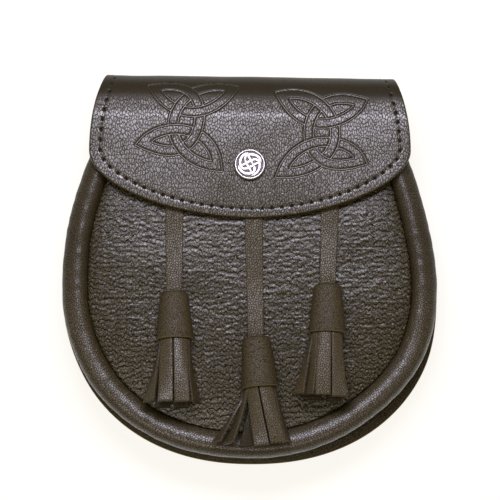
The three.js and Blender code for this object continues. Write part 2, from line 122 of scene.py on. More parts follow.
for name, (place, size, watts, colour) in SOFTBOXES.items():
    softbox_data = bpy.data.lights.new(name, "AREA")
    softbox_data.shape = "RECTANGLE"
    softbox_data.size, softbox_data.size_y = size
    softbox_data.energy = watts
    softbox_data.color = linear(colour)[:3]
    softbox = bpy.data.objects.new(name, softbox_data)
    softbox.location = place
    softbox.rotation_euler = (Vector(place) - AIM).to_track_quat("Z", "Y").to_euler()
    scene.collection.objects.link(softbox)

room = bpy.data.worlds.new("room")
room.use_nodes = True
feed(room.node_tree, room.node_tree.nodes["Background"], {"Color": linear("#ffebae"), "Strength": ROOM_LIGHT})
scene.world = room

table_mesh = bpy.data.meshes.new("table")
reach = TABLE_SIZE / 2
table_mesh.from_pydata(
    [(-reach, -reach, 0), (reach, -reach, 0), (reach, reach, 0), (-reach, reach, 0)], [], [(0, 1, 2, 3)]
)
table = bpy.data.objects.new("table", table_mesh)
scene.collection.objects.link(table)
# Matt white card, which glows a little so that it stays pale under the soft light
white_card, card_tree, card = new_material("white_card")
feed(card_tree, card, {
    "Base Color": linear("#7d7c7a"), "Roughness": 0.9,
    "Emission Color": linear("#fffdf9"), "Emission Strength": 0.85,
})
table_mesh.materials.append(white_card)

# Back panel
# One flat piece of plain leather, cut to the pouch's outline, with a raw edge. It lies on the table at
# its lower end, and rises over the belt loop that is sewn to it.
back_low, back_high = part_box("back_panel")
loop_low, loop_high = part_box("belt_loop")
HALF_WIDTH = back_high[0]
BOTTOM_Y = back_low[1]
TOP_Y = back_high[1]
WIDEST_Y = -10 * MM
OUTLINE_POWER = 2.2
TOP_HALF_WIDTH = 66 * MM
TOP_SIDE_SLOPE = -0.3
BACK_THICKNESS = 2.2 * MM
BACK_RISE = back_high[2] - BACK_THICKNESS
BACK_RISE_FROM_Y = -58 * MM
BACK_RISE_TO_Y = 4 * MM
RAW_EDGE_RADIUS = 0.5 * MM
GAP = 0.3 * MM
SHIFT_LEFT = 1.1 * MM
SHOULDER_OUT = 3.6 * MM
CORNER_IN = 3 * MM


def smoothstep(x, low, high):
    """0 below low, 1 above high, and the cubic 3t^2 - 2t^3 between."""
    t = np.clip((x - low) / (high - low), 0, 1)
    return t * t * (3 - 2 * t)


def side_half_width(y):
    """Half width above the widest line: a cubic from the widest to the top, with a slope at its top."""
    rise = TOP_Y - WIDEST_Y
    t = (y - WIDEST_Y) / rise
    ease = t * t * (3 - 2 * t)
    return HALF_WIDTH + (TOP_HALF_WIDTH - HALF_WIDTH) * ease + (t**3 - t**2) * rise * TOP_SIDE_SLOPE


def half_width(y, inset):
    """Half width of the outline moved in by inset: a superellipse below the widest line."""
    down = np.clip((WIDEST_Y - y) / (WIDEST_Y - BOTTOM_Y - inset), 0, 1)
    lower = (HALF_WIDTH - inset) * (1 - down**OUTLINE_POWER) ** (1 / OUTLINE_POWER)
    return np.where(y > WIDEST_Y, side_half_width(y) - inset, lower)


def rim_share(x, y, inset):
    """0 on the pouch's middle line and 1 on the outline moved in by inset."""
    upper = np.abs(x) / (side_half_width(y) - inset)
    across = np.abs(x) / (HALF_WIDTH - inset)
    down = np.maximum(WIDEST_Y - y, 0) / (WIDEST_Y - BOTTOM_Y - inset)
    lower = (across**OUTLINE_POWER + down**OUTLINE_POWER) ** (1 / OUTLINE_POWER)
    return np.where(y > WIDEST_Y, upper, lower)


def inside_rim(x, y, inset):
    """How far inside the outline a point lies: what is left of its share, over the share's slope."""
    step = 0.01 * MM
    share = rim_share(x, y, inset)
    slope_x = (rim_share(np.abs(x) + step, y, inset) - share) / step
    slope_y = (rim_share(x, y - step, inset) - share) / step
    return np.maximum(1 - share, 0) / np.maximum(np.hypot(slope_x, slope_y), 1e-6)


def rounded_drop(inside, radius):
    """How far a face falls towards its edge: a quarter circle over the last radius."""
    short = np.clip(radius - inside, 0, radius)
    return radius - np.sqrt(radius**2 - short**2)


def rows_down(top, bottom, step, crowd, crowd_rows):
    """Heights from top to bottom: even steps, then rows that crowd quadratically towards the bottom."""
    count = 4 * round((top - bottom - crowd) / step / 4)
    even = np.linspace(top, bottom + crowd, count + 1)
    left = 1 - 0.97 * np.linspace(0, 1, crowd_rows + 1)[1:]
    return np.concatenate([even, bottom + crowd * left**2])


def grid_faces(rows, cols, closed=False):
    """Quads of a grid of points that run row by row; closed joins the last column to the first."""
    r = np.arange(rows - 1)[:, None] * cols
    c = np.arange(cols if closed else cols - 1)[None, :]
    n = (c + 1) % cols
    return np.stack([r + c, r + n, r + cols + n, r + cols + c], axis=-1).reshape(-1, 4)


def lofted(rings, joined=False):
    """A solid through closed rings, an array of ring by point by xyz: capped, or joined end to end."""
    count, sides = rings.shape[:2]
    points = rings.reshape(-1, 3)
    if joined:
        faces = grid_faces(count + 1, sides, closed=True) % len(points)
        return points, [faces]
    first = np.arange(sides)[None, ::-1]
    last = np.arange(sides)[None, :] + (count - 1) * sides
    return points, [grid_faces(count, sides, closed=True), first, last]


def grid_border(rows, cols):
    """Indices round a grid's border, from its first corner along the first row and back."""
    index = np.arange(rows * cols).reshape(rows, cols)
    return np.concatenate([index[0, :-1], index[:-1, -1], index[-1, :0:-1], index[:0:-1, 0]])


def shelled(outer, inner):
    """A wall between a fine outer grid and an inner grid that has every k-th of its rows and columns."""
    rows, cols = outer.shape[:2]
    inner_rows, inner_cols = inner.shape[:2]
    ratio = (rows - 1) // (inner_rows - 1)
    points = np.concatenate([outer.reshape(-1, 3), inner.reshape(-1, 3)])
    under = grid_faces(inner_rows, inner_cols)[:, ::-1] + rows * cols
    outside = grid_border(rows, cols)
    inside = grid_border(inner_rows, inner_cols) + rows * cols
    start = np.arange(len(inside))
    many = outside[(start[:, None] * ratio + np.arange(ratio, -1, -1)) % len(outside)]
    pair = np.stack([inside[start], inside[(start + 1) % len(inside)]], axis=1)
    return points, [grid_faces(rows, cols), under, np.concatenate([pair, many], axis=1)]


def piece(name, *parts):
    """One smooth mesh object from parts of points and faces, each part turned to face outwards."""
    points, faces, offset = [], [], 0
    for part_points, part_faces in parts:
        volume = 0
        for group in part_faces:
            corner = part_points[group]
            fan = np.cross(corner[:, 1:-1], corner[:, 2:])
            volume += np.einsum("ik,ijk->", corner[:, 0], fan)
        for group in part_faces:
            turned = group if volume > 0 else group[:, ::-1]
            faces.extend((turned + offset).tolist())
        points.append(part_points)
        offset += len(part_points)
    mesh = bpy.data.meshes.new(name)
    mesh.from_pydata(np.concatenate(points).tolist(), [], faces)
    mesh.shade_smooth()
    made = bpy.data.objects.new(name, mesh)
    scene.collection.objects.link(made)
    return made


def mark(made, name, values):
    """Put a number on each point of a piece, for its material to read."""
    layer = made.data.attributes.new(name, "FLOAT", "POINT")
    layer.data.foreach_set("value", np.ascontiguousarray(values, dtype=np.float32).ravel())


def unroll(made, places):
    """Lay a piece flat: a UV map that holds each point's place on the flat leather, in metres."""
    corners = np.empty(len(made.data.loops), dtype=np.int32)
    made.data.loops.foreach_get("vertex_index", corners)
    layer = made.data.uv_layers.new(name="flat")
    layer.data.foreach_set("uv", places.reshape(-1, 2)[corners].astype(np.float32).ravel())


def leather(
    name, face, crease_shade, raw, cell, relief, roughness, crease_width=0.16, warp=0.5, coat=0.0, wrinkle=None
):
    """Dyed leather: rounded grain cells of a size in metres, with painted shade that darkens the creases
    between them and lowers their specular and coat, pores, and slow changes of tone. A cell of two sizes
    lies on the flat leather's UV map, one of three is cut out of the piece's space. A wrinkle of a length
    and a spacing adds rounded ridges that wander across the leather, with painted shade darkening the
    furrows between: the absolute sine of Y plus noise. Points marked pressed have lost their grain. Those
    marked dark turn darker and duller: painted shade in stitch holes, pressed grooves, the fold, the roll's
    sides and the tassels' heads inside their bells, and the strips' own flesh side. Those marked raw are cut
    edges: their colour is the edge's own, and on the back panel, the bells' mouths and the strips it is
    partly painted light and shade as well."""
    material, tree, shader = new_material(name)
    if len(cell) == 2:
        place = add_node(tree, "UVMap", uv_map="flat").outputs["UV"]
    else:
        place = add_node(tree, "TexCoord").outputs["Object"]
    cell_size = float(np.mean(cell))
    per_metre = (*(1 / np.array(cell)), 0.0)[:3]
    bend = add_node(tree, "TexNoise", {"Vector": place, "Scale": 0.45 / cell_size, "Detail": 2})
    centred = add_node(
        tree, "VectorMath", {0: bend.outputs["Color"], 1: (0.5, 0.5, 0.5)}, operation="SUBTRACT"
    )
    moved = add_node(
        tree, "VectorMath", {0: centred, 1: (warp * 2 * cell_size,) * 3, 2: place}, operation="MULTIPLY_ADD"
    )
    scaled = add_node(tree, "VectorMath", {0: moved, 1: per_metre}, operation="MULTIPLY")
    span = {"voronoi_dimensions": f"{len(cell)}D"}
    cells = add_node(tree, "TexVoronoi", {"Vector": scaled, "Scale": 1.0}, feature="DISTANCE_TO_EDGE", **span)
    shade = add_node(tree, "TexVoronoi", {"Vector": scaled, "Scale": 1.0}, **span)
    eased = {"interpolation_type": "SMOOTHSTEP"}
    pebble, dome = (
        add_node(tree, "MapRange", {"Value": cells.outputs["Distance"], "From Max": width}, **eased)
        for width in (crease_width, 1.6 * crease_width)
    )
    if wrinkle:
        length, spacing = wrinkle
        wide = add_node(
            tree, "VectorMath", {0: place, 1: (1 / length, 0.3 / spacing, 0)}, operation="MULTIPLY"
        )
        wander = add_node(tree, "TexNoise", {"Vector": wide, "Scale": 1.0, "Detail": 3})
        up = add_node(tree, "SeparateXYZ", {0: place})
        level = add_node(tree, "Math", {0: up.outputs["Y"], 1: math.pi / spacing}, operation="MULTIPLY")
        level = add_node(tree, "Math", {0: wander, 1: 9.0, 2: level}, operation="MULTIPLY_ADD")
        wave = add_node(tree, "Math", {0: level}, operation="SINE")
        wave = add_node(tree, "Math", {0: wave}, operation="ABSOLUTE")
        furrow = add_node(tree, "MapRange", {"Value": wave, "From Min": 0.05, "From Max": 0.55}, **eased)
        pebble = add_node(tree, "MapRange", {"Value": pebble, "To Min": 0.3})
        pebble = add_node(tree, "Math", {0: pebble, 1: furrow}, operation="MULTIPLY")
        dome = add_node(tree, "Math", {0: dome, 1: 0.6, 2: wave}, operation="MULTIPLY_ADD")
    flattened = add_node(tree, "Attribute", attribute_name="pressed")
    faded = add_node(tree, "MapRange", {"Value": bend, "From Min": 0.45, "From Max": 0.7, "To Max": 0.35})
    faded = add_node(tree, "Math", {0: faded, 1: flattened.outputs["Fac"]}, operation="MAXIMUM")
    pebble, dome = (
        add_node(tree, "Math", {0: part, 1: faded}, operation="MAXIMUM") for part in (pebble, dome)
    )
    pores = add_node(tree, "TexNoise", {"Vector": place, "Scale": 2.2 / cell_size, "Detail": 3})
    tone = add_node(tree, "TexNoise", {"Vector": place, "Scale": 1 / (22 * MM), "Detail": 2})
    height = add_node(tree, "Math", {0: pores, 1: 0.4, 2: dome}, operation="MULTIPLY_ADD")
    grain = add_node(tree, "Bump", {"Height": height, "Distance": relief, "Strength": 1.0})
    each = add_node(tree, "MapRange", {"Value": shade.outputs["Color"], "To Min": 0.7})
    slow = add_node(tree, "MapRange", {"Value": tone, "From Min": 0.3, "From Max": 0.7, "To Min": 0.8})
    # Painted shade: the creases and furrows take the darker colour, mixed with the cells' own random and slow
    # tone
    tone_and_crease_shade = add_node(tree, "Math", {0: pebble, 1: each}, operation="MULTIPLY")
    tone_and_crease_shade = add_node(tree, "Math", {0: tone_and_crease_shade, 1: slow}, operation="MULTIPLY")
    dyed = add_node(tree, "Mix", {0: tone_and_crease_shade, 6: linear(crease_shade), 7: linear(face)}, data_type="RGBA")
    # Cut edges take the raw colour: the edge's own, which on some leathers also holds painted light and shade
    cut = add_node(tree, "Attribute", attribute_name="raw")
    fibre = add_node(
        tree, "Mix", {0: cut.outputs["Fac"], 6: dyed.outputs[2], 7: linear(raw)}, data_type="RGBA"
    )
    # Points marked dark go towards near black: painted shade, apart from the strips' flesh side
    dark_marks = add_node(tree, "Attribute", attribute_name="dark")
    colour = add_node(
        tree, "Mix", {0: dark_marks.outputs["Fac"], 6: fibre.outputs[2], 7: linear("#0f0b06")},
        data_type="RGBA",
    )
    dull = add_node(
        tree, "MapRange", {"Value": tone_and_crease_shade, "To Min": min(1.0, roughness + 0.2), "To Max": roughness}
    )
    duller = add_node(
        tree, "Math", {0: cut.outputs["Fac"], 1: 0.3, 2: dull}, operation="MULTIPLY_ADD", use_clamp=True
    )
    dullest = add_node(
        tree, "Math", {0: dark_marks.outputs["Fac"], 1: 0.35, 2: duller},
        operation="MULTIPLY_ADD", use_clamp=True,
    )
    # Painted shade in the reflection: the specular level and coat fall in the creases and furrows and on
    # points marked dark
    not_darkened = add_node(tree, "MapRange", {"Value": dark_marks.outputs["Fac"], "To Min": 1.0, "To Max": 0.0})
    shiny = add_node(tree, "Math", {0: pebble, 1: not_darkened}, operation="MULTIPLY")
    gloss = add_node(tree, "MapRange", {"Value": shiny, "To Min": 0.05, "To Max": 0.5})
    sealed = add_node(tree, "Math", {0: shiny, 1: coat}, operation="MULTIPLY")
    feed(tree, shader, {
        "Base Color": colour.outputs[2], "Roughness": dullest, "Specular IOR Level": gloss,
        "Coat Weight": sealed, "Coat Roughness": 0.3, "Normal": grain, "IOR": 1.5,
    })
    return material


def back_underside(y):
    """The panel's outer face: on the table below, lifted over the belt loop above."""
    return BACK_RISE * smoothstep(y, BACK_RISE_FROM_Y, BACK_RISE_TO_Y)


def settled(points):
    """The soft pouch as it lies: its middle a little to the left, its left shoulder pushed out, and its
    lower right corner leaning in above the back panel."""
    x, y, z = np.moveaxis(points, -1, 0)
    middle = SHIFT_LEFT * smoothstep(y, -50 * MM, -15 * MM) * (1 - smoothstep(y, 10 * MM, 50 * MM))
    shoulder = SHOULDER_OUT * smoothstep(y, -15 * MM, 48 * MM) * smoothstep(-x, 10 * MM, 70 * MM)
    below = WIDEST_Y - y
    bearing = np.arctan2(below, x)
    eighth = math.pi / 4
    corner = CORNER_IN * smoothstep(bearing, 0, eighth) * (1 - smoothstep(bearing, eighth, 2 * eighth))
    corner = corner * smoothstep(np.hypot(x, below), 15 * MM, 60 * MM) * smoothstep(z, 3 * MM, 16 * MM)
    return points - np.stack(
        [middle + shoulder + corner * np.cos(bearing), -corner * np.sin(bearing), 0 * x], axis=-1
    )


back_y = rows_down(TOP_Y, BOTTOM_Y, 2.5 * MM, 20 * MM, 24)[:, None]
back_x = half_width(back_y, 0) * np.sin(np.linspace(-1, 1, 97) * math.pi / 2)
back_drop = rounded_drop(inside_rim(back_x, back_y, 0), RAW_EDGE_RADIUS)
back_flat = np.broadcast_to(back_y, back_x.shape)
back_inside = np.stack([back_x, back_flat, back_underside(back_flat) + BACK_THICKNESS - back_drop], axis=-1)
back_outside = np.stack([back_x, back_flat, back_underside(back_flat) + back_drop], axis=-1)
back_panel = piece("back_panel_leather", shelled(settled(back_inside), settled(back_outside)))
# The back panel's cut edge: its light colour is partly the edge's own and partly painted light against the
# roll's shadow
back_raw = 1 - smoothstep(inside_rim(back_x, back_y, 0), 0, RAW_EDGE_RADIUS)
mark(back_panel, "raw", np.concatenate([back_raw.ravel(), back_raw.ravel()]))

# Plain vegetable-tanned leather: a fine, nearly flat grain with a dull finish. Its cut-edge colour is partly
# the raw edge's own, partly painted light that lifts the back panel's rim out of the roll's shadow
plain_leather = leather(
    "plain_leather", "#4a4029", "#2e2615", "#6b5d42", (0.9 * MM, 0.9 * MM, 0.9 * MM), 0.05 * MM, 0.62
)
back_panel.data.materials.append(plain_leather)
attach(back_panel, "root")
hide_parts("back_panel")

# Belt loop
# A flat strip of the same leather on the outside of the back, sewn along its upper and lower edges, so
# that the sporran strap passes through it sideways. It is pressed flat under the pouch.
LOOP_CORNER = 4 * MM
LOOP_EDGE_RADIUS = 0.35 * MM


def rounded_outline(low, high, corner, inset, count):
    """A rectangle with round corners, moved in by inset, as count points on each corner's arc."""
    turn = np.linspace(0, math.pi / 2, count)
    corners = [(high[0], high[1]), (low[0], high[1]), (low[0], low[1]), (high[0], low[1])]
    loop = []
    for quarter, (x, y) in enumerate(corners):
        angle = turn + quarter * math.pi / 2
        centre_x = x - math.copysign(corner, x - (low[0] + high[0]) / 2)
        centre_y = y - math.copysign(corner, y - (low[1] + high[1]) / 2)
        arc = np.stack([np.cos(angle), np.sin(angle)], axis=1) * (corner - inset)
        loop.append(arc + (centre_x, centre_y))
    return np.concatenate(loop)


loop_rings = []
for height in (0, LOOP_EDGE_RADIUS / 3, LOOP_EDGE_RADIUS):
    pull = LOOP_EDGE_RADIUS - math.sqrt(max(0, LOOP_EDGE_RADIUS**2 - (LOOP_EDGE_RADIUS - height) ** 2))
    flat = rounded_outline(loop_low, loop_high, LOOP_CORNER, pull, 8)
    loop_rings.append(np.column_stack([flat, np.full(len(flat), loop_low[2] + height)]))
upper_rings = [ring * (1, 1, -1) + (0, 0, loop_low[2] + loop_high[2]) for ring in loop_rings[::-1]]
belt_loop = piece("belt_loop_leather", lofted(np.array(loop_rings + upper_rings)))
belt_loop.data.materials.append(plain_leather)
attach(belt_loop, "root")
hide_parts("belt_loop")

# Gusset
# A strip of smooth leather bent into a flange and a wall: the flange is sewn to the back panel's edge,
# and the wall stands up to the rolled edge and goes in under it.
MOUTH_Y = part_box("gusset")[1][1]
FLANGE_INSET = 1.2 * MM
WALL_INSET = 8.6 * MM
GUSSET_THICKNESS = 1.4 * MM
GUSSET_FILLET = 1.5 * MM
GUSSET_HOLLOW = 0.5 * MM
GUSSET_TUCK = 0.5 * MM
GUSSET_EDGE = 0.15 * MM
GUSSET_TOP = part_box("gusset")[1][2]
RIM_STATIONS = 520


def raw_rim(inset, top_y):
    """The U of the outline moved in by inset, from its left top round the bottom to its right top."""
    angle = np.linspace(-1, 1, 601) * math.pi / 2
    swing = np.sign(angle) * np.abs(np.sin(angle)) ** (2 / OUTLINE_POWER)
    drop = np.abs(np.cos(angle)) ** (2 / OUTLINE_POWER)
    lower = np.stack([(HALF_WIDTH - inset) * swing, WIDEST_Y - (WIDEST_Y - BOTTOM_Y - inset) * drop], axis=1)
    height = np.linspace(WIDEST_Y, top_y, 201)[1:]
    side = side_half_width(height) - inset
    right = np.stack([side, height], axis=1)
    left = np.stack([-side, height], axis=1)[::-1]
    return np.concatenate([left, lower, right])


def length_along(line):
    """Distance of each of a line's points from its first, along the line."""
    return np.concatenate([[0], np.cumsum(np.linalg.norm(np.diff(line, axis=0), axis=1))])


def respaced(line, count, key=None):
    """A line's points spaced evenly along it, or along a key line that has as many points."""
    along = length_along(line if key is None else key)
    places = np.linspace(0, along[-1], count)
    return np.stack([np.interp(places, along, column) for column in line.T], axis=1)


def swept_rim(profile, top_y, stations, middle):
    """A profile of insets and heights carried round the U. Heights may change from point to point."""
    key = raw_rim(middle, top_y)
    lines = [respaced(raw_rim(inset, top_y), stations, key) for inset, _ in profile]
    heights = [np.broadcast_to(z(line[:, 1]), stations) for (_, z), line in zip(profile, lines)]
    return np.stack([np.column_stack([line, z]) for line, z in zip(lines, heights)], axis=1)


def flange_low(y):
    """The flange's underside, just clear of the back panel."""
    return back_underside(y) + BACK_THICKNESS + GAP / 3


gusset_profile = [
    (FLANGE_INSET, lambda y: flange_low(y) + GUSSET_EDGE),
    (FLANGE_INSET, lambda y: flange_low(y) + GUSSET_THICKNESS - GUSSET_EDGE),
    (FLANGE_INSET + 0.2 * MM, lambda y: flange_low(y) + GUSSET_THICKNESS),
]
wall_face = WALL_INSET - GUSSET_THICKNESS
for turn in np.linspace(0, math.pi / 2, 6):
    gusset_profile.append((
        wall_face - GUSSET_FILLET + GUSSET_FILLET * math.sin(turn),
        lambda y, turn=turn: flange_low(y) + GUSSET_THICKNESS + GUSSET_FILLET * (1 - math.cos(turn)),
    ))
for share in (0.35, 0.6, 0.85):
    hollow = GUSSET_HOLLOW * math.sin(share * math.pi)
    gusset_profile.append((wall_face + hollow, lambda y, share=share: share * GUSSET_TOP + 0 * y))
gusset_profile += [
    (wall_face, lambda y: GUSSET_TOP + GUSSET_TUCK + 0 * y),
    (WALL_INSET, lambda y: GUSSET_TOP + GUSSET_TUCK + 0 * y),
    (WALL_INSET, lambda y: flange_low(y) + 0 * y),
]
gusset_rings = settled(swept_rim(gusset_profile, MOUTH_Y, RIM_STATIONS, WALL_INSET))
gusset_leather = piece("gusset_leather", lofted(gusset_rings))

# Smooth calf leather: a fine tight grain, satin from its finish. Its light cut-edge colour, used on the
# bells' mouths, is partly the raw edge's own and partly a painted highlight
smooth_leather = leather(
    "smooth_leather", "#3d351e", "#292114", "#75684b", (0.9 * MM, 0.9 * MM, 0.9 * MM), 0.07 * MM, 0.5
)
gusset_leather.data.materials.append(smooth_leather)
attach(gusset_leather, "root")
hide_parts("gusset")

# Rolled edge
# A soft filling rolled into smooth leather, which frames the front panel and stands proud of it. The
# leather is drawn into small creases across the roll, and painted shade darkens and dulls it at the sides.
roll_low, roll_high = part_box("edge_roll")
ROLL_INSET = 7 * MM
ROLL_HALF_WIDTH = 6 * MM
ROLL_HALF_HEIGHT = (roll_high[2] - roll_low[2]) / 2
ROLL_Z = (roll_high[2] + roll_low[2]) / 2
ROLL_SIDES = 44
ROLL_STATIONS = 700
ROLL_CREASE = 0.12 * MM
ROLL_SWELL = 0.2 * MM
ROLL_SIDE_SHADE = 0.25
ROLL_LEANS = (0.16, -0.16)


def noise(places, size, seed):
    """Smooth random heights from -1 to 1: random values on a lattice of a spacing, eased between."""
    cell = places / size
    low = np.floor(cell)
    share = cell - low
    share = share * share * (3 - 2 * share)
    total = 0
    for corner in itertools.product((0, 1), repeat=places.shape[-1]):
        key = (low + corner) @ np.array([127.1, 311.7, 74.7])[:places.shape[-1]] + seed * 19.19
        value = np.modf(np.abs(np.sin(key)) * 43758.5453)[0] * 2 - 1
        total = total + value * np.prod(np.where(corner, share, 1 - share), axis=-1)
    return total


def roll_height(y, turn):
    """Height of the roll's skin: an oval that leans out at the sides, and in and flatter at the bottom."""
    top = max(0.0, math.sin(turn))
    upper = smoothstep(y, -50 * MM, -10 * MM)
    lean = ROLL_LEANS[0] + (ROLL_LEANS[1] - ROLL_LEANS[0]) * upper
    flatter = 1 - 0.3 * top * (1 - upper)
    oval = ROLL_HALF_HEIGHT * np.abs(math.sin(turn)) ** flatter * np.sign(math.sin(turn))
    return ROLL_Z + oval + top * lean * ROLL_HALF_WIDTH * math.cos(turn)


roll_turn = (np.arange(ROLL_SIDES) / ROLL_SIDES * 2 - 0.5) * math.pi
roll_profile = [
    (ROLL_INSET - ROLL_HALF_WIDTH * math.cos(turn), lambda y, turn=turn: roll_height(y, turn))
    for turn in roll_turn
]
roll_rings = swept_rim(roll_profile, MOUTH_Y, ROLL_STATIONS, ROLL_INSET)
roll_middle = roll_rings.mean(axis=1, keepdims=True)
roll_out = roll_rings - roll_middle
roll_out /= np.linalg.norm(roll_out, axis=-1, keepdims=True)
along_roll = length_along(roll_middle[:, 0])
roll_place = np.stack(np.broadcast_arrays(along_roll[:, None], roll_turn[None, :] * ROLL_HALF_WIDTH), axis=-1)
roll_swell = ROLL_CREASE * noise(roll_place / (3, 9), MM, 1)
roll_swell = roll_swell + ROLL_SWELL * noise(roll_place / (30, 12), MM, 2)
edge_roll = piece("edge_roll_leather", lofted(settled(roll_rings + roll_out * roll_swell[..., None])))

# Stretched smooth leather: its fine grain shines in specks where the roll turns to the light
stretched_leather = leather(
    "stretched_leather", "#372f18", "#281f11", "#4a4029", (1.2 * MM, 1.0 * MM), 0.13 * MM, 0.34,
    crease_width=0.2, warp=0.7, coat=0.6,
)
unroll(edge_roll, roll_place)
# Painted shade: the roll's sides are darkened and dulled, to cut their sheen
mark(edge_roll, "dark", ROLL_SIDE_SHADE * smoothstep(roll_rings[..., 1], -30 * MM, 10 * MM))
edge_roll.data.materials.append(stretched_leather)
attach(edge_roll, "root")
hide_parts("edge_roll")

# Front panel
# A domed panel of milled leather: tumbling has drawn its grain into low ridges and creases that run
# across the pouch. Its edge turns down and is sewn in under the rolled edge.
panel_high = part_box("front_panel")[1]
PANEL_INSET = 12.6 * MM
DOME_INSET = 13.3 * MM
PANEL_EDGE_Z = 25 * MM
PANEL_SETTLE = 0.6 * MM
PANEL_DOME = panel_high[2] - PANEL_EDGE_Z - PANEL_SETTLE
DOME_POWERS = (2.4, 0.65)
PANEL_THICKNESS = 2 * MM
PANEL_TURN = 0.8 * MM
PANEL_TURN_DEPTH = 4.5 * MM
PANEL_SHOWN_Y = 26 * MM
PANEL_COLUMNS = 245
RIDGE_HEIGHT = 0.13 * MM
PANEL_SWELL = 0.2 * MM


def panel_topside(x, y):
    """Outer face of the front panel: a dome, highest on its middle line, that falls faster by its rim."""
    share = np.minimum(1, rim_share(x, y, DOME_INSET))
    return PANEL_EDGE_Z + PANEL_DOME * (1 - share ** DOME_POWERS[0]) ** DOME_POWERS[1]


def panel_ridges(x, y):
    """Milled grain: furrows about 3.6 mm long and 1.5 mm apart, shorter swells between, and slow ones."""
    place = np.stack([x, y], axis=-1)
    long_ridge = 2 * np.abs(noise(place / (3.6, 1.5), MM, 3)) - 1
    short_ridge = noise(place / (1.9, 0.95), MM, 4)
    swell = PANEL_SWELL * noise(place / (26, 18), MM, 5)
    return RIDGE_HEIGHT * (0.6 * long_ridge + 0.5 * short_ridge) + swell


hidden_rows = np.linspace(MOUTH_Y, PANEL_SHOWN_Y, 21)[:-1]
shown_rows = rows_down(PANEL_SHOWN_Y, BOTTOM_Y + PANEL_INSET, 0.44 * MM, 9 * MM, 28)
panel_y = np.concatenate([hidden_rows, shown_rows])[:, None]
panel_x = half_width(panel_y, PANEL_INSET) * np.linspace(-1, 1, PANEL_COLUMNS)
panel_flat = np.broadcast_to(panel_y, panel_x.shape)
panel_inside = inside_rim(panel_x, panel_flat, PANEL_INSET)
turned_down = PANEL_TURN_DEPTH * np.clip(1 - panel_inside / PANEL_TURN, 0, 1) ** 2
ridges = panel_ridges(panel_x, panel_flat) * smoothstep(panel_inside, 0, 2 * PANEL_TURN)
panel_z = panel_topside(panel_x, panel_flat) - turned_down + ridges
panel_outer = np.stack([panel_x, panel_flat, panel_z], axis=-1)
panel_inner = np.stack([panel_x, panel_flat, panel_z - ridges - PANEL_THICKNESS], axis=-1)[::4, ::4]
front_panel = piece("front_panel_leather", shelled(settled(panel_outer), settled(panel_inner)))

# Milled leather: small cells on ridges that wander across the pouch, glossy on top, with painted shade dark
# between
milled_leather = leather(
    "milled_leather", "#41381c", "#0f0a04", "#4a4029", (1.5 * MM, 1.3 * MM), 0.5 * MM, 0.3,
    crease_width=0.18, warp=1.1, coat=0.75, wrinkle=(2.4 * MM, 2.5 * MM),
)
unroll(front_panel, np.concatenate([panel_outer.reshape(-1, 3), panel_inner.reshape(-1, 3)])[:, :2])
front_panel.data.materials.append(milled_leather)
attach(front_panel, "root")
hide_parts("front_panel")

# Tassels
# Each hangs on a strap of grained leather that is caught under the flap. A wrapped bell of smooth
# leather holds the head of a rolled piece that is cut into strips, with raw edges and a flesh side.
STRAP_THICKNESS = 1.3 * MM
STRAP_TOP_Y = 41 * MM
STRAP_WIDTHS = (9 * MM, 7.4 * MM)
STRAP_LIFT = 0.15 * MM
STRAP_RISE = 30 * MM
STRAP_LOW = 1.6 * MM
BELL_WALL = 1.3 * MM
BELL_TOP_THICK = 3.5 * MM
BELL_MOUTH_THICK = 6.4 * MM
BELL_TOP_LIFT = 1 * MM
BELL_DROP_LIMIT = 1 * MM
BELL_SIDES = 72
STRIP_THICKNESS = 1.7 * MM
STRIP_WIDTH = 7.3 * MM
STRIP_ROOT = 7 * MM
SPLAY_POWER = 1.15
HEAD_INSET = 2.5 * MM

# Outside of a bell: share of its length, and half width and half thickness in millimetres
BELL_PROFILE = np.array([
    (0.00, 3.9, 2.4),
    (0.00, 4.9, 3.1),
    (0.015, 5.7, 3.8),
    (0.05, 6.35, 4.35),
    (0.12, 6.7, 4.65),
    (0.35, 7.35, 5.1),
    (0.70, 8.15, 5.75),
    (0.985, 8.95, 6.35),
    (1.00, 8.8, 6.2),
    (1.00, 7.7, 5.1),
    (0.75, 7.0, 4.5),
    (0.10, 5.3, 3.2),
])

# Each tassel: strap's top, bell's top, bell's length and lean. Each strip leaves the bell's mouth round
# an angle of its oval, where 90 faces front, and ends flat at x and z, facing an angle, after a length.
TASSELS = {
    "left": (-37, -36.8, -13.6, 22.8, 1.5, [
        (131, 66, -4.9, 4.6, 92, 30.5),
        (63, 64, 2.9, 4.5, 89, 30.8),
        (4, 44, 9.2, 0.2, 28, 30.6),
        (188, 44, -12.8, -1.0, 130, 29.5),
        (240, 50, -6.6, -2.6, 268, 32.2),
        (300, 50, 2.4, -2.6, 272, 32.6),
    ]),
    "middle": (0.5, 1.9, -35.1, 24.2, 4.6, [
        (128, 62, -1.4, 3.4, 94, 27.8),
        (63, 62, 6.4, 3.2, 86, 27.2),
        (4, 44, 10.8, -1.0, 20, 26.4),
        (165, 42, -16.8, 1.4, 140, 25.6),
        (208, 40, -22.2, 0.4, 140, 24.2),
        (256, 46, -8.6, -1.9, 266, 27.4),
        (308, 46, 1.6, -1.9, 272, 26.4),
    ]),
    "right": (37.7, 35.8, -10.1, 23.4, -0.9, [
        (152, 40, -8.2, 1.4, 142, 30.0),
        (102, 58, -1.7, 3.0, 92, 30.2),
        (44, 56, 6.0, 2.6, 84, 30.9),
        (-10, 44, 10.2, -0.9, 10, 30),
        (192, 44, -13.0, -0.9, 128, 29.6),
        (240, 50, -6, -2.6, 268, 31.8),
        (300, 50, 3.4, -2.6, 272, 32.4),
    ]),
}


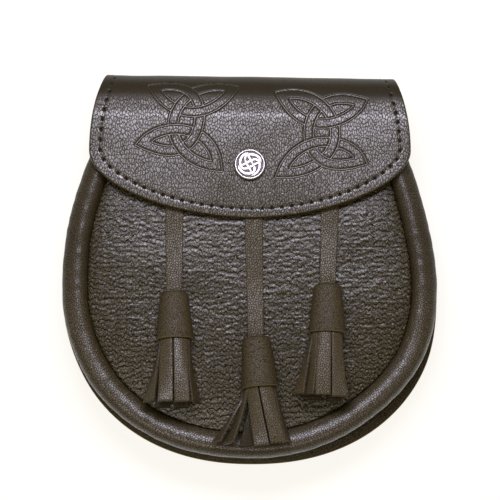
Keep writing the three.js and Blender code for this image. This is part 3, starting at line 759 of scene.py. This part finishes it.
def squared(turn, power):
    """Cosine and sine raised to a power that fills out a circle into a rounded rectangle."""
    return (
        np.sign(np.cos(turn)) * np.abs(np.cos(turn)) ** power,
        np.sign(np.sin(turn)) * np.abs(np.sin(turn)) ** power,
    )


def bell_half_sizes(share):
    """Half width and half thickness of a bell's outside at shares of its length."""
    outside = BELL_PROFILE[2:8]
    return [np.interp(share, outside[:, 0], outside[:, k]) * MM for k in (1, 2)]


def strip_part(length, row, seed):
    """A strip's surface: rings that follow the bell's oval at the root and flatten out to the free end."""
    angle, span, end_x, end_z, face, free = row
    across, lift = squared(np.linspace(0, 2 * math.pi, 28, endpoint=False), 0.3)
    buried = BELL_WALL + GAP + STRIP_THICKNESS * (1 - lift) / 2
    turn = np.radians(angle + across * span / 2)
    half, thick = bell_half_sizes(1.0)
    mouth = np.stack([(half - buried) * np.cos(turn), (thick - buried) * np.sin(turn)], axis=1)
    half, thick = bell_half_sizes(1 - STRIP_ROOT / length)
    root = np.stack([(half - buried - GAP) * np.cos(turn), (thick - buried - GAP) * np.sin(turn)], axis=1)
    out = np.array([math.cos(math.radians(face)), math.sin(math.radians(face))])
    end = np.array([end_x, end_z]) * MM + np.outer(across, (-out[1], out[0])) * STRIP_WIDTH / 2
    end = end + np.outer(lift, out) * STRIP_THICKNESS / 2
    share = np.linspace(0, 1, 26)[:, None, None]
    sway = np.sin(share * math.pi) * (0.5 + share) * 0.7 * MM * math.sin(seed * 2.4) * out
    flow = mouth + (end - mouth) * share**SPLAY_POWER + sway
    rings = np.concatenate([root[None], flow])
    down = np.concatenate([[STRIP_ROOT - length], -length - np.linspace(0, free * MM, 26)])
    rings = np.stack([rings[..., 0], np.broadcast_to(down[:, None], rings.shape[:2]), rings[..., 1]], axis=-1)
    # Cut edges: their dark colour is partly the edge's own and partly painted shade between the strips
    shaded_cut_edge = smoothstep(np.abs(across), 0.93, 1.0)
    flesh = 0.55 * smoothstep(-lift, 0.5, 0.9) * (1 - shaded_cut_edge)
    flat = np.stack(np.broadcast_arrays(across * STRIP_WIDTH / 2 + seed * 20 * MM, down[:, None]), axis=-1)
    sides = [np.broadcast_to(side, rings.shape[:2]).ravel() for side in (shaded_cut_edge, flesh)]
    return lofted(rings), *sides, flat.reshape(-1, 2)


def oval_part(length, rows, sides, joined=False):
    """Rings of an oval section whose rows give the share of the length and the half sizes."""
    turn = np.arange(sides) / sides * 2 * math.pi
    share, half, thick = np.array(rows).T[..., None]
    ring = np.broadcast_arrays(half * MM * np.cos(turn), -share * length, thick * MM * np.sin(turn))
    return lofted(np.stack(ring, axis=-1), joined)


def placed(part, origin, pitch, lean):
    """A part turned about X by the pitch, then about Z by the lean, and moved to its origin."""
    points, faces = part
    turn = np.array(Euler((pitch, 0, lean)).to_matrix())
    return points @ turn.T + origin, faces


# Fine-grained leather of the straps, and the strips' leather, whose dark cut edges are partly their own
# colour and partly painted shade between the strips
strap_leather = leather(
    "strap_leather", "#42391f", "#231b0f", "#3a3120", (1.0 * MM, 1.2 * MM), 0.12 * MM, 0.43, coat=0.1
)
strip_leather = leather(
    "strip_leather", "#453c23", "#251d11", "#2b2315", (0.95 * MM, 1.15 * MM), 0.13 * MM, 0.38, coat=0.3
)

for side, (strap_x, bell_x, bell_y, bell_length, lean_deg, strips) in TASSELS.items():
    strap_x, bell_x, bell_y, bell_length = (value * MM for value in (strap_x, bell_x, bell_y, bell_length))
    lean = math.radians(lean_deg)
    end_x = bell_x + bell_length * math.sin(lean)
    end_y = bell_y - bell_length * math.cos(lean)
    under_top = float(panel_topside(bell_x, bell_y))
    under_end = float(panel_topside(end_x, end_y))
    start_z = under_top + GAP + BELL_TOP_THICK + BELL_TOP_LIFT
    end_z = max(under_end, under_top - BELL_DROP_LIMIT) + GAP + BELL_MOUTH_THICK
    origin = np.array([bell_x, bell_y, start_z])
    pitch = math.asin((start_z - end_z) / bell_length)

    share = np.linspace(0, 1, 90)[:, None]
    across, lift = squared(np.linspace(0, 2 * math.pi, 28, endpoint=False), 0.3)
    strap_y = STRAP_TOP_Y + (bell_y - 0.08 * bell_length - STRAP_TOP_Y) * share
    width = STRAP_WIDTHS[0] + (STRAP_WIDTHS[1] - STRAP_WIDTHS[0]) * share
    strap_px = strap_x + (bell_x - strap_x) * share + across * width / 2
    lying = panel_topside(strap_px, strap_y) + STRAP_LIFT + STRAP_THICKNESS / 2
    hung = smoothstep(strap_y, bell_y, bell_y + STRAP_RISE)
    strap_z = start_z - STRAP_LOW + (lying - start_z + STRAP_LOW) * hung + lift * STRAP_THICKNESS / 2
    strap_rings = np.stack(np.broadcast_arrays(strap_px, strap_y, strap_z), axis=-1)
    strap = piece(f"tassel_strap_{side}_leather", lofted(strap_rings))
    strap_cut = smoothstep(np.abs(across), 0.95, 1.0) * 0.7
    mark(strap, "raw", np.broadcast_to(strap_cut, strap_rings.shape[:2]))
    unroll(strap, strap_rings[..., :2])
    strap.data.materials.append(strap_leather)
    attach(strap, "root")
    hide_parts(f"tassel_strap_{side}")

    bell_part = placed(oval_part(bell_length, BELL_PROFILE, BELL_SIDES, True), origin, pitch, lean)
    bell = piece(f"tassel_bell_{side}_leather", bell_part)
    # The bell's mouth takes the light cut-edge colour: partly raw edge, partly painted highlight
    bell_rim_edge_and_highlight = np.zeros((len(BELL_PROFILE), BELL_SIDES))
    bell_rim_edge_and_highlight[8:] = 0.8
    mark(bell, "raw", bell_rim_edge_and_highlight)
    bell.data.materials.append(smooth_leather)
    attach(bell, "root")
    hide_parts(f"tassel_bell_{side}")

    head_rows = [(0.14, 5.1, 3.0), (0.4, 5.8, 3.6), (1 - HEAD_INSET / bell_length, 7.2, 4.7)]
    parts = [placed(oval_part(bell_length, head_rows, 40), origin, pitch, lean)]
    cut_edges_and_shade = [np.zeros(len(parts[0][0]))]
    # Painted shade: the rolled head inside the bell is marked fully dark
    darks = [np.ones(len(parts[0][0]))]
    flats = [parts[0][0][:, :2]]
    for number, row in enumerate(strips):
        part, cut, flesh, flat = strip_part(bell_length, row, number + bell_x / MM)
        parts.append(placed(part, origin, pitch, lean))
        cut_edges_and_shade.append(cut)
        darks.append(flesh)
        flats.append(flat)
    fringe = piece(f"tassel_fringe_{side}_leather", *parts)
    mark(fringe, "raw", np.concatenate(cut_edges_and_shade))
    mark(fringe, "dark", np.concatenate(darks))
    unroll(fringe, np.concatenate(flats))
    fringe.data.materials.append(strip_leather)
    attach(fringe, "root")
    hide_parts(f"tassel_fringe_{side}")

# Flap
# One piece of pebbled leather: its tail is sewn inside the back panel, it folds over the mouth, and
# hangs to a round edge. The stud pulls its middle down. Two knots are pressed into it with a hot plate.
flap_low, flap_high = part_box("flap")
FLAP_THICKNESS = 2.2 * MM
FOLD_TOP_Y = flap_high[1]
FOLD_OUTER_RADIUS = 15.2 * MM
FOLD_Y = FOLD_TOP_Y - FOLD_OUTER_RADIUS
FOLD_Z = flap_high[2] - FOLD_OUTER_RADIUS
FLAP_HALF_WIDTH = flap_high[0]
WAIST_HALF_WIDTH = 70 * MM
TAIL_HALF_WIDTH = 60 * MM
TAIL_END_Y = 60 * MM
FLAP_WIDEST_Y = 54 * MM
FLAP_TIP_Y = flap_low[1]
FLAP_EDGE_POWER = 1.85
FLAP_DROP = 1.2 * MM
FOLD_SKEW = 0.015
FOLD_SETTLE = 1.1 * MM
RIGHT_NARROWING = 0.024
FLAP_CROWN = 0.8 * MM
STUD_PULL = 1.9 * MM
STUD_PULL_FROM_Y = 72 * MM
STUD_PULL_REACH = 50 * MM
STUD_PULL_WIDTH = 34 * MM
STUD_DIMPLE = 0.15 * MM
DIMPLE_RADIUS = 9.5 * MM
STUD_X = -0.9 * MM
STUD_Y = 47.2 * MM
FLAP_EDGE_RADIUS = 0.9 * MM
HALF_FOLD = math.pi / 2 * FOLD_OUTER_RADIUS
FLAP_STITCH_INSETS = (5.2 * MM, 4.4 * MM)
FLAP_STITCH_PITCH = 4.75 * MM
KNOT_BAND = 4.5 * MM
KNOT_LINE = (0.14 * MM, 0.75 * MM)
KNOT_DEPTH = 0.42 * MM


def flap_half_width(t):
    """Half width at a distance t along the leather, which is Y up to where the fold starts."""
    turn = np.clip((t - FOLD_Y) / FOLD_OUTER_RADIUS, 0, math.pi)
    y = np.where(t > FOLD_Y, FOLD_Y + FOLD_OUTER_RADIUS * np.sin(turn), t)
    share = np.maximum(0, y - FLAP_WIDEST_Y) / (FOLD_TOP_Y - FLAP_WIDEST_Y)
    front = FLAP_HALF_WIDTH - (FLAP_HALF_WIDTH - WAIST_HALF_WIDTH) * share**2
    behind = TAIL_HALF_WIDTH + (WAIST_HALF_WIDTH - TAIL_HALF_WIDTH) * np.sin(turn)
    return np.where(turn > math.pi / 2, behind, front)


def flap_edge_y(share):
    """Height of the round lower edge at a share of the half width: a superellipse."""
    down = (1 - np.abs(share) ** FLAP_EDGE_POWER) ** (1 / FLAP_EDGE_POWER)
    return FLAP_WIDEST_Y - (FLAP_WIDEST_Y - FLAP_TIP_Y) * down


def flap_face(x, t, depth=0):
    """A point at x and t on the flap's outer face, sunk by a depth: flat in front, then round the fold."""
    turn = np.clip((t - FOLD_Y) / FOLD_OUTER_RADIUS, 0, math.pi)
    past = np.maximum(0, t - FOLD_Y - 2 * HALF_FOLD)
    ahead = np.maximum(0, FOLD_Y - t)
    reach = FOLD_Y - FLAP_TIP_Y
    settle = smoothstep(t, FOLD_Y - 8 * MM, FOLD_Y + 3 * MM)
    settle = settle * (1 - smoothstep(t, FOLD_Y + 5 * MM, FOLD_Y + HALF_FOLD))
    sag = FLAP_DROP * (ahead / reach) ** 1.6 + FOLD_SETTLE * settle
    sag = sag + FLAP_CROWN * (x / FLAP_HALF_WIDTH) ** 2 * (1 - smoothstep(t, FLAP_WIDEST_Y - 8 * MM, FOLD_Y))
    pull = np.clip((STUD_PULL_FROM_Y - t) / STUD_PULL_REACH, 0, 1)
    sag = sag + STUD_PULL * pull * np.exp(-((x / STUD_PULL_WIDTH) ** 2))
    sag = sag + STUD_DIMPLE * np.exp(-(((x - STUD_X) ** 2 + (t - STUD_Y) ** 2) / DIMPLE_RADIUS**2))
    x = x * (1 - RIGHT_NARROWING * smoothstep(x, 10 * MM, FLAP_HALF_WIDTH))
    radius = FOLD_OUTER_RADIUS - depth
    skew = FOLD_SKEW * x * smoothstep(t, FLAP_WIDEST_Y - 10 * MM, FOLD_Y + 2 * MM)
    y = FOLD_Y - ahead + radius * np.sin(turn) - past - skew
    z = FOLD_Z + radius * np.cos(turn) - sag
    return np.stack(np.broadcast_arrays(x, y, z), axis=-1)


def inside_flap(x, t):
    """How far inside the flap's edge a point lies, on the flat leather."""
    side = flap_half_width(t) - np.abs(x)
    across = np.abs(x) / FLAP_HALF_WIDTH
    down = np.maximum(FLAP_WIDEST_Y - t, 0) / (FLAP_WIDEST_Y - FLAP_TIP_Y)
    share = (across**FLAP_EDGE_POWER + down**FLAP_EDGE_POWER) ** (1 / FLAP_EDGE_POWER)
    power = FLAP_EDGE_POWER - 1
    slope = np.hypot(across**power / FLAP_HALF_WIDTH, down**power / (FLAP_WIDEST_Y - FLAP_TIP_Y))
    slope = slope / np.maximum(share, 1e-6) ** power
    return np.maximum(np.where(t > FLAP_WIDEST_Y, side, (1 - share) / np.maximum(slope, 1e-6)), 0)


def distance_to(places, starts, ends):
    """Distance from each place to the nearest of many straight pieces."""
    nearest = np.full(len(places), np.inf)
    for start, end in zip(starts, ends):
        along = end - start
        share = np.clip((places - start) @ along / max(along @ along, 1e-12), 0, 1)
        nearest = np.minimum(nearest, np.linalg.norm(places - start - share[:, None] * along, axis=1))
    return nearest


def bezier(points, t):
    """A cubic Bezier curve through its first and last point."""
    t = t[:, None]
    a, b, c, d = points
    return (1 - t) ** 3 * a + 3 * t * (1 - t) ** 2 * b + 3 * t**2 * (1 - t) * c + t**3 * d


# Middle lines of the knot's four bands in a square from -1 to 1. They join at the square's corners:
# two upright bands that each bulge past the middle, and two that hang between the upper and lower tips.
KNOT_BANDS = {
    "rising": [(-1, -1), (0.98, -1.37), (0.56, 1.54), (-1, 1)],
    "falling": [(1, 1), (-0.68, 1.48), (-0.88, -1.4), (1, -1)],
    "upper": [(-1, 1), (-0.4, -0.22), (0.76, 0.26), (1, 1)],
    "lower": [(1, -1), (0.72, -0.06), (-0.62, -0.02), (-1, -1)],
}

# Which band passes under which, and on which side of the knot: axis, and sign of its coordinate
KNOT_UNDER = [
    ("rising", "upper", 0, 1),
    ("rising", "falling", 1, -1),
    ("falling", "lower", 0, -1),
    ("falling", "rising", 1, 1),
    ("upper", "falling", 0, -1),
    ("lower", "rising", 0, 1),
]

# Where its bands join on the flat leather, in millimetres: lower left and right, upper right and left
KNOT_TIPS = {
    "left": [(-51.9, 57.3), (-16.5, 46.4), (-9.3, 84.7), (-46.5, 84.4)],
    "right": [(14.3, 43.3), (52.9, 49.0), (53.0, 78.3), (14.3, 81.3)],
}


def knot_lines(tips):
    """Starts and ends of a knot's pressed lines: both edges of each band, mitred where bands meet at a
    tip, and left out where the band passes under another."""
    tips = np.array(tips) * MM
    share = np.linspace(0, 1, 90)
    square, middle, tangent = {}, {}, {}
    for name, points in KNOT_BANDS.items():
        square[name] = bezier(np.array(points, dtype=float), share)
        u, v = (square[name].T + 1) / 2
        middle[name] = (
            np.outer((1 - u) * (1 - v), tips[0]) + np.outer(u * (1 - v), tips[1])
            + np.outer(u * v, tips[2]) + np.outer((1 - u) * v, tips[3])
        )
        slope = np.gradient(middle[name], axis=0)
        tangent[name] = slope / np.linalg.norm(slope, axis=1, keepdims=True)
    starts, ends = [], []
    for name in KNOT_BANDS:
        run = np.linspace(8, 0.5, 16)[:, None] * MM
        path, way = middle[name], tangent[name]
        line = np.concatenate([path[0] - run * way[0], path, path[-1] + run[::-1] * way[-1]])
        heading, where = (np.pad(part, ((16, 16), (0, 0)), mode="edge") for part in (way, square[name]))
        for edge in (-KNOT_BAND / 2, KNOT_BAND / 2):
            curve = line + edge * np.stack([-heading[:, 1], heading[:, 0]], axis=1)
            shown = np.ones(len(curve), dtype=bool)
            for end, away in ((0, 1), (-1, -1)):
                tip, own = path[end], away * way[end]
                for other in KNOT_BANDS:
                    for other_end, other_away in ((0, 1), (-1, -1)):
                        if other == name or np.linalg.norm(middle[other][other_end] - tip) > 0.1 * MM:
                            continue
                        bisector = own + other_away * tangent[other][other_end]
                        towards = bisector[0] * own[1] - bisector[1] * own[0]
                        off = curve - tip
                        turn = (bisector[0] * off[:, 1] - bisector[1] * off[:, 0]) * np.sign(towards)
                        near = np.linalg.norm(off, axis=1) < 12 * MM
                        shown &= ~(near & (turn < 0))
            for under, over, axis, sign in KNOT_UNDER:
                if under == name:
                    covered = distance_to(curve, middle[over][:-1], middle[over][1:]) < KNOT_BAND / 2
                    shown &= ~(covered & (where[:, axis] * sign > 0))
            kept = shown[:-1] & shown[1:]
            starts.append(curve[:-1][kept])
            ends.append(curve[1:][kept])
    return np.concatenate(starts), np.concatenate(ends)


# Where the needle goes in: a line inside the edge, from behind the fold down one side and up the other
edge_share = np.sin(np.linspace(-1, 1, 801) * math.pi / 2)
edge_low = np.stack([FLAP_HALF_WIDTH * edge_share, flap_edge_y(edge_share)], axis=1)
edge_t = np.linspace(FLAP_WIDEST_Y, FOLD_Y + HALF_FOLD, 300)[1:]
edge_right = np.stack([flap_half_width(edge_t), edge_t], axis=1)
flap_edge = np.concatenate([(edge_right * (-1, 1))[::-1], edge_low, edge_right])
flap_edge = respaced(flap_edge, 1200)
edge_heading = np.gradient(flap_edge, axis=0)
edge_heading /= np.linalg.norm(edge_heading, axis=1, keepdims=True)
stitch_inset = FLAP_STITCH_INSETS[1] + (FLAP_STITCH_INSETS[0] - FLAP_STITCH_INSETS[1]) * smoothstep(
    np.abs(flap_edge[:, 0]), 30 * MM, 70 * MM
)
stitch_line = flap_edge + np.stack([-edge_heading[:, 1], edge_heading[:, 0]], axis=1) * stitch_inset[:, None]
stitch_count = round(length_along(stitch_line)[-1] / FLAP_STITCH_PITCH)
flap_holes = respaced(stitch_line, stitch_count + 1)

# Columns stand closer at the sides, and rows closer over the knots
half_columns = np.concatenate([
    np.linspace(0, 0.06, 6)[:-1], np.linspace(0.06, 0.78, 140)[:-1], np.linspace(0.78, 0.985, 30)[:-1],
    np.linspace(0.985, 1, 9),
])
column_share = np.concatenate([-half_columns[:0:-1], half_columns])
front_share = np.concatenate([np.linspace(0, 0.975, 165)[1:], np.linspace(0.975, 1, 9)[1:]])
fold_t = FOLD_Y + np.concatenate([
    np.linspace(2 * HALF_FOLD + FOLD_Y - TAIL_END_Y, 1.1 * HALF_FOLD, 17)[:-1],
    np.linspace(1.1 * HALF_FOLD, 13 * MM, 17)[:-1], np.linspace(13 * MM, 0, 37),
])
fold_rows = np.broadcast_to(fold_t[:, None], (len(fold_t), len(column_share)))
front_rows = FOLD_Y + (flap_edge_y(column_share) - FOLD_Y) * front_share[:, None]
flap_t = np.concatenate([fold_rows, front_rows])
flap_x = column_share * flap_half_width(flap_t)
flap_inside = np.minimum(inside_flap(flap_x, flap_t), 2 * HALF_FOLD + FOLD_Y * 2 - TAIL_END_Y - flap_t)

flap_places = np.stack([flap_x, flap_t], axis=-1).reshape(-1, 2)
pressed = np.zeros(len(flap_places))
for tips in KNOT_TIPS.values():
    starts, ends = knot_lines(tips)
    low, high = starts.min(axis=0) - 2 * MM, starts.max(axis=0) + 2 * MM
    near = np.all((flap_places > low) & (flap_places < high), axis=1)
    gone = 1 - smoothstep(distance_to(flap_places[near], starts, ends), *KNOT_LINE)
    pressed[near] = np.maximum(pressed[near], gone)
pressed = pressed.reshape(flap_x.shape)

seam = distance_to(flap_places, flap_holes[:-1], flap_holes[1:]).reshape(flap_x.shape)
hole_heading = np.gradient(flap_holes, axis=0)
hole_heading /= np.linalg.norm(hole_heading, axis=1, keepdims=True)
hole_starts = flap_holes - hole_heading * 0.3 * MM
hole_ends = flap_holes + hole_heading * 0.3 * MM
hole = distance_to(flap_places, hole_starts, hole_ends).reshape(flap_x.shape)
# Stitch holes: sunk into the leather, and painted dark as the shade in them
dark_marks = 1 - smoothstep(hole, 0.4 * MM, 0.95 * MM)
sunk = KNOT_DEPTH * pressed + 0.1 * MM * (1 - smoothstep(seam, 0.3 * MM, 1.5 * MM)) + 0.3 * MM * dark_marks
sunk = sunk + rounded_drop(flap_inside, FLAP_EDGE_RADIUS)
swell = 0.18 * MM * noise(flap_places.reshape(*flap_x.shape, 2), 14 * MM, 6)


def sink(x, t, depth):
    """The flap's face sunk by a depth, straight down in front and towards the fold's centre behind."""
    face = flap_face(x, t, np.where(t > FOLD_Y, depth, 0))
    face[..., 2] -= np.where(t > FOLD_Y, 0, depth)
    return face


flap_outer = sink(flap_x, flap_t, sunk - swell)
flesh_drop = FLAP_THICKNESS - rounded_drop(flap_inside, 0.5 * MM)
flap_inner = sink(flap_x, flap_t, flesh_drop - swell)[::4, ::4]
flap = piece("flap_leather", shelled(flap_outer, flap_inner))
flap_raw = 0.8 * (1 - smoothstep(flap_inside, 0, 0.7 * MM))
# Painted shade: the pressed grooves' walls, the stitch holes and the fold, where it turns from the light, are
# marked dark; the fold's grain is also smoothed flat
wall = np.clip(4 * pressed * (1 - pressed), 0, 1)
flap_flat = smoothstep(pressed, 0.1, 0.6)
fold_stretch_and_shade = smoothstep(flap_t, FOLD_Y - 1 * MM, FOLD_Y + 5 * MM)
flap_painted_shade = np.maximum.reduce([0.95 * wall, dark_marks, 0.6 * fold_stretch_and_shade * (1 - flap_flat)])
flap_flat = np.maximum(flap_flat, 0.9 * fold_stretch_and_shade)
for name, values, flesh in (("raw", flap_raw, 1), ("pressed", flap_flat, 0), ("dark", flap_painted_shade, 0)):
    mark(flap, name, np.append(values, np.full(flap_inner.shape[:2], flesh)))

# Pebbled leather: rounded cells about twice as long as wide, glossy on their tops, with painted shade
# darkening and dulling the creases between
pebbled_leather = leather(
    "pebbled_leather", "#352d17", "#171108", "#382f1b", (1.1 * MM, 2.0 * MM), 0.12 * MM, 0.28,
    crease_width=0.16, warp=0.9, coat=0.6,
)
flat_inner = np.stack([flap_x, flap_t], axis=-1)[::4, ::4].reshape(-1, 2)
unroll(flap, np.concatenate([flap_places, flat_inner]))
flap.data.materials.append(pebbled_leather)
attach(flap, "root")
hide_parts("flap")

# Stitching
# Waxed dark thread. It is pulled well into the leather at each hole, so that little of it shows between.
# Rows run inside the flap's edge, round the gusset's flange, across the flap's tail and on the belt loop.
THREAD_RADIUS = 0.24 * MM
THREAD_SINK = 0.35 * MM
BACK_SEAM_INSET = 4 * MM
BACK_PITCH = 4.2 * MM


def thread_part(holes, out, rise, radius):
    """Short bowed tubes, each from one hole to the next: holes and outward directions are arrays of
    points, and rise is how far the thread's middle stands over the line between its holes."""
    start, end = holes[:-1, None, None, :], holes[1:, None, None, :]
    up = out[:-1, None, None, :]
    share = np.linspace(0.03, 0.97, 9)[None, :, None, None]
    turn = np.linspace(0, 2 * math.pi, 6, endpoint=False)[None, None, :, None]
    along = end - start
    side = np.cross(up, along)
    side = side / np.linalg.norm(side, axis=-1, keepdims=True)
    bow = np.sin(share * math.pi) ** 0.6
    thick = radius * (0.55 + 0.45 * bow)
    rings = start + along * share + up * (bow * (rise + radius) - radius)
    rings = rings + (side * np.cos(turn) + up * np.sin(turn)) * thick
    return [lofted(stitch) for stitch in rings]


def waxed_thread():
    """Twisted dark thread: a fine twill of light and dark, with a soft wax gloss."""
    material, tree, shader = new_material("waxed_thread")
    place = add_node(tree, "TexCoord").outputs["Object"]
    twist = add_node(tree, "TexNoise", {"Vector": place, "Scale": 1 / (0.4 * MM), "Detail": 2})
    tone = add_node(tree, "Mix", {0: twist, 6: linear("#0e0a06"), 7: linear("#1e1710")}, data_type="RGBA")
    feed(tree, shader, {"Base Color": tone.outputs[2], "Roughness": 0.75})
    return material


flap_hole_points = flap_face(flap_holes[:, 0], flap_holes[:, 1])
hole_out = flap_hole_points - flap_face(flap_holes[:, 0], flap_holes[:, 1], 1 * MM)
on_front = flap_holes[:, 1] <= FOLD_Y
hole_out[on_front] = (0, 0, 1)
hole_out /= np.linalg.norm(hole_out, axis=1, keepdims=True)
flap_pulled = flap_hole_points - hole_out * THREAD_SINK
flap_thread = piece("flap_stitches", *thread_part(flap_pulled, hole_out, 0.2 * MM, THREAD_RADIUS))

seam_xy = raw_rim(BACK_SEAM_INSET, MOUTH_Y)
seam_xy = respaced(seam_xy, round(length_along(seam_xy)[-1] / BACK_PITCH) + 1)
flange_top = flange_low(seam_xy[:, 1]) + GUSSET_THICKNESS
up = np.broadcast_to((0.0, 0.0, 1.0), (len(seam_xy), 3))
seam_top = settled(np.column_stack([seam_xy, flange_top - 0.1 * MM]))
seam_parts = thread_part(seam_top, up, 0.25 * MM, THREAD_RADIUS)
seam_under = settled(np.column_stack([seam_xy, back_underside(seam_xy[:, 1]) + THREAD_SINK]))
seam_parts += thread_part(seam_under, -up, 0.02 * MM, THREAD_RADIUS)

tail_x = np.linspace(-0.93, 0.93, 28) * TAIL_HALF_WIDTH
tail_seam = np.column_stack([tail_x, np.full(28, TAIL_END_Y + 4 * MM), np.full(28, BACK_RISE + 0.1 * MM)])
seam_parts += thread_part(tail_seam, -up[:28], 0.25 * MM, THREAD_RADIUS)
back_thread = piece("seam_stitches", *seam_parts)

loop_x = np.linspace(loop_low[0] + 3 * MM, loop_high[0] - 3 * MM, 15)
loop_parts = []
for loop_y in (loop_low[1] + 2.5 * MM, loop_high[1] - 2.5 * MM):
    loop_seam = np.column_stack([loop_x, np.full(15, loop_y), np.full(15, loop_low[2] + THREAD_SINK)])
    loop_parts += thread_part(loop_seam, -up[:15], 0.02 * MM, THREAD_RADIUS)
loop_thread = piece("belt_loop_stitches", *loop_parts)

dark_thread = waxed_thread()
for thread in (flap_thread, back_thread, loop_thread):
    thread.data.materials.append(dark_thread)
    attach(thread, "root")

# Press stud
# A cast cap with a raised rim and a woven knot of one strand, blackened and polished so that the
# recesses stay dark. Its shank goes through the flap to the socket, which snaps on the base below.
stud_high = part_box("stud")[1]
STUD_RISE = 2.0 * MM
STUD_SETTLE = 0.3 * MM
STUD_SEAT = stud_high[2] - STUD_RISE - STUD_SETTLE
STUD_FIELD = 1.25 * MM
STRAND_HALF = 0.82 * MM
STRAND_HEIGHT = 0.55 * MM
STRAND_WEAVE = 0.22 * MM
STUD_SIDES = 192

# A quarter of the strand, in millimetres: x, y, and how high it lies, from -1 under to 1 over
STRAND_QUARTER = np.array([
    (-0.9, 4.3, -1.0),
    (-0.5, 3.5, 0.0),
    (0.5, 1.7, 1.0),
    (1.2, 0.4, 0.0),
    (1.8, -0.7, -1.0),
    (2.4, -2.2, 0.0),
    (2.1, -3.6, 0.6),
    (0.8, -4.5, 1.0),
    (-1.1, -4.75, 1.0),
    (-3.2, -4.15, 0.7),
    (-4.7, -2.8, 0.1),
    (-5.15, -1.6, -0.6),
    (-4.9, -0.7, -1.0),
])

# The rest of the stud's section, from the rim down to the socket: radius and height over its seat, in mm
STUD_SECTION = [
    (6.05, 1.25), (6.2, 1.5), (6.45, 1.85), (6.75, 2.0), (7.05, 1.9), (7.35, 1.55),
    (7.5, 1.05), (7.45, 0.6), (7.2, 0.2), (6.9, 0.0), (3.0, 0.0), (3.0, -3.0),
    (5.0, -3.0), (5.0, -4.0), (2.2, -4.0), (2.2, -2.6), (0.05, -2.6),
]

strand_share = np.linspace(0, 1, len(STRAND_QUARTER))
fine_share = np.linspace(0, 1, 160)
strand = np.stack([np.interp(fine_share, strand_share, column) for column in STRAND_QUARTER.T], axis=1)
soften = np.ones(19) / 19
padded_strand = np.pad(strand, ((9, 9), (0, 0)), mode="edge")
strand = np.stack([np.convolve(column, soften, mode="valid") for column in padded_strand.T], axis=1)
field_radius = np.concatenate([[0.05], np.linspace(0.12, 5.95, 60)]) * MM
stud_turn = np.arange(STUD_SIDES) / STUD_SIDES * 2 * math.pi
field_x = field_radius[:, None] * np.cos(stud_turn)
field_y = field_radius[:, None] * np.sin(stud_turn)
weave = np.zeros_like(field_x)
for quarter in range(4):
    cos, sin = math.cos(quarter * math.pi / 2), math.sin(quarter * math.pi / 2)
    for x, y, height in strand:
        away = np.hypot(field_x - (cos * x - sin * y) * MM, field_y - (sin * x + cos * y) * MM) / STRAND_HALF
        section = np.sqrt(np.clip(1 - away**4, 0, 1))
        weave = np.maximum(weave, section * (STRAND_HEIGHT + STRAND_WEAVE * height))
cap_rings = np.stack([field_x + STUD_X, field_y + STUD_Y, STUD_SEAT + STUD_FIELD + weave], axis=-1)
section_radius, section_height = np.array(STUD_SECTION).T[..., None] * MM
side_rings = np.stack(np.broadcast_arrays(
    STUD_X + section_radius * np.cos(stud_turn),
    STUD_Y + section_radius * np.sin(stud_turn),
    STUD_SEAT + section_height,
), axis=-1)
stud = piece("stud_cap", lofted(np.concatenate([cap_rings, side_rings])))
stud.data.set_sharp_from_angle(angle=math.radians(50))
recess = 1 - smoothstep(weave, 0.05 * MM, 0.6 * STRAND_HEIGHT)
side_recess = np.zeros((len(STUD_SECTION), STUD_SIDES))
side_recess[:2] = 1
mark(stud, "recess", np.concatenate([recess, side_recess]))


def antique_silver():
    """Silver-plated casting: blackened in the recesses, rubbed bright on top, with a fine uneven wear."""
    material, tree, shader = new_material("antique_silver")
    place = add_node(tree, "TexCoord").outputs["Object"]
    wear = add_node(tree, "TexNoise", {"Vector": place, "Scale": 1 / (0.9 * MM), "Detail": 4})
    deep = add_node(tree, "Attribute", attribute_name="recess")
    tarnish = add_node(
        tree, "Math", {0: wear, 1: 0.25, 2: deep.outputs["Fac"]}, operation="MULTIPLY_ADD", use_clamp=True
    )
    colour = add_node(tree, "Mix", {0: tarnish, 6: linear("#c4c1c6"), 7: linear("#6b676e")}, data_type="RGBA")
    gloss = add_node(tree, "MapRange", {"Value": tarnish, "To Min": 0.34, "To Max": 0.6})
    cast = add_node(tree, "Bump", {"Height": wear, "Distance": 0.03 * MM, "Strength": 0.5})
    feed(tree, shader, {"Base Color": colour.outputs[2], "Roughness": gloss, "Normal": cast, "Metallic": 1.0})
    return material


silver = antique_silver()
stud.data.materials.append(silver)
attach(stud, "root")
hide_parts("stud")

stud_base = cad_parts["stud_base"]
stud_base.data.materials.clear()
stud_base.data.materials.append(silver)
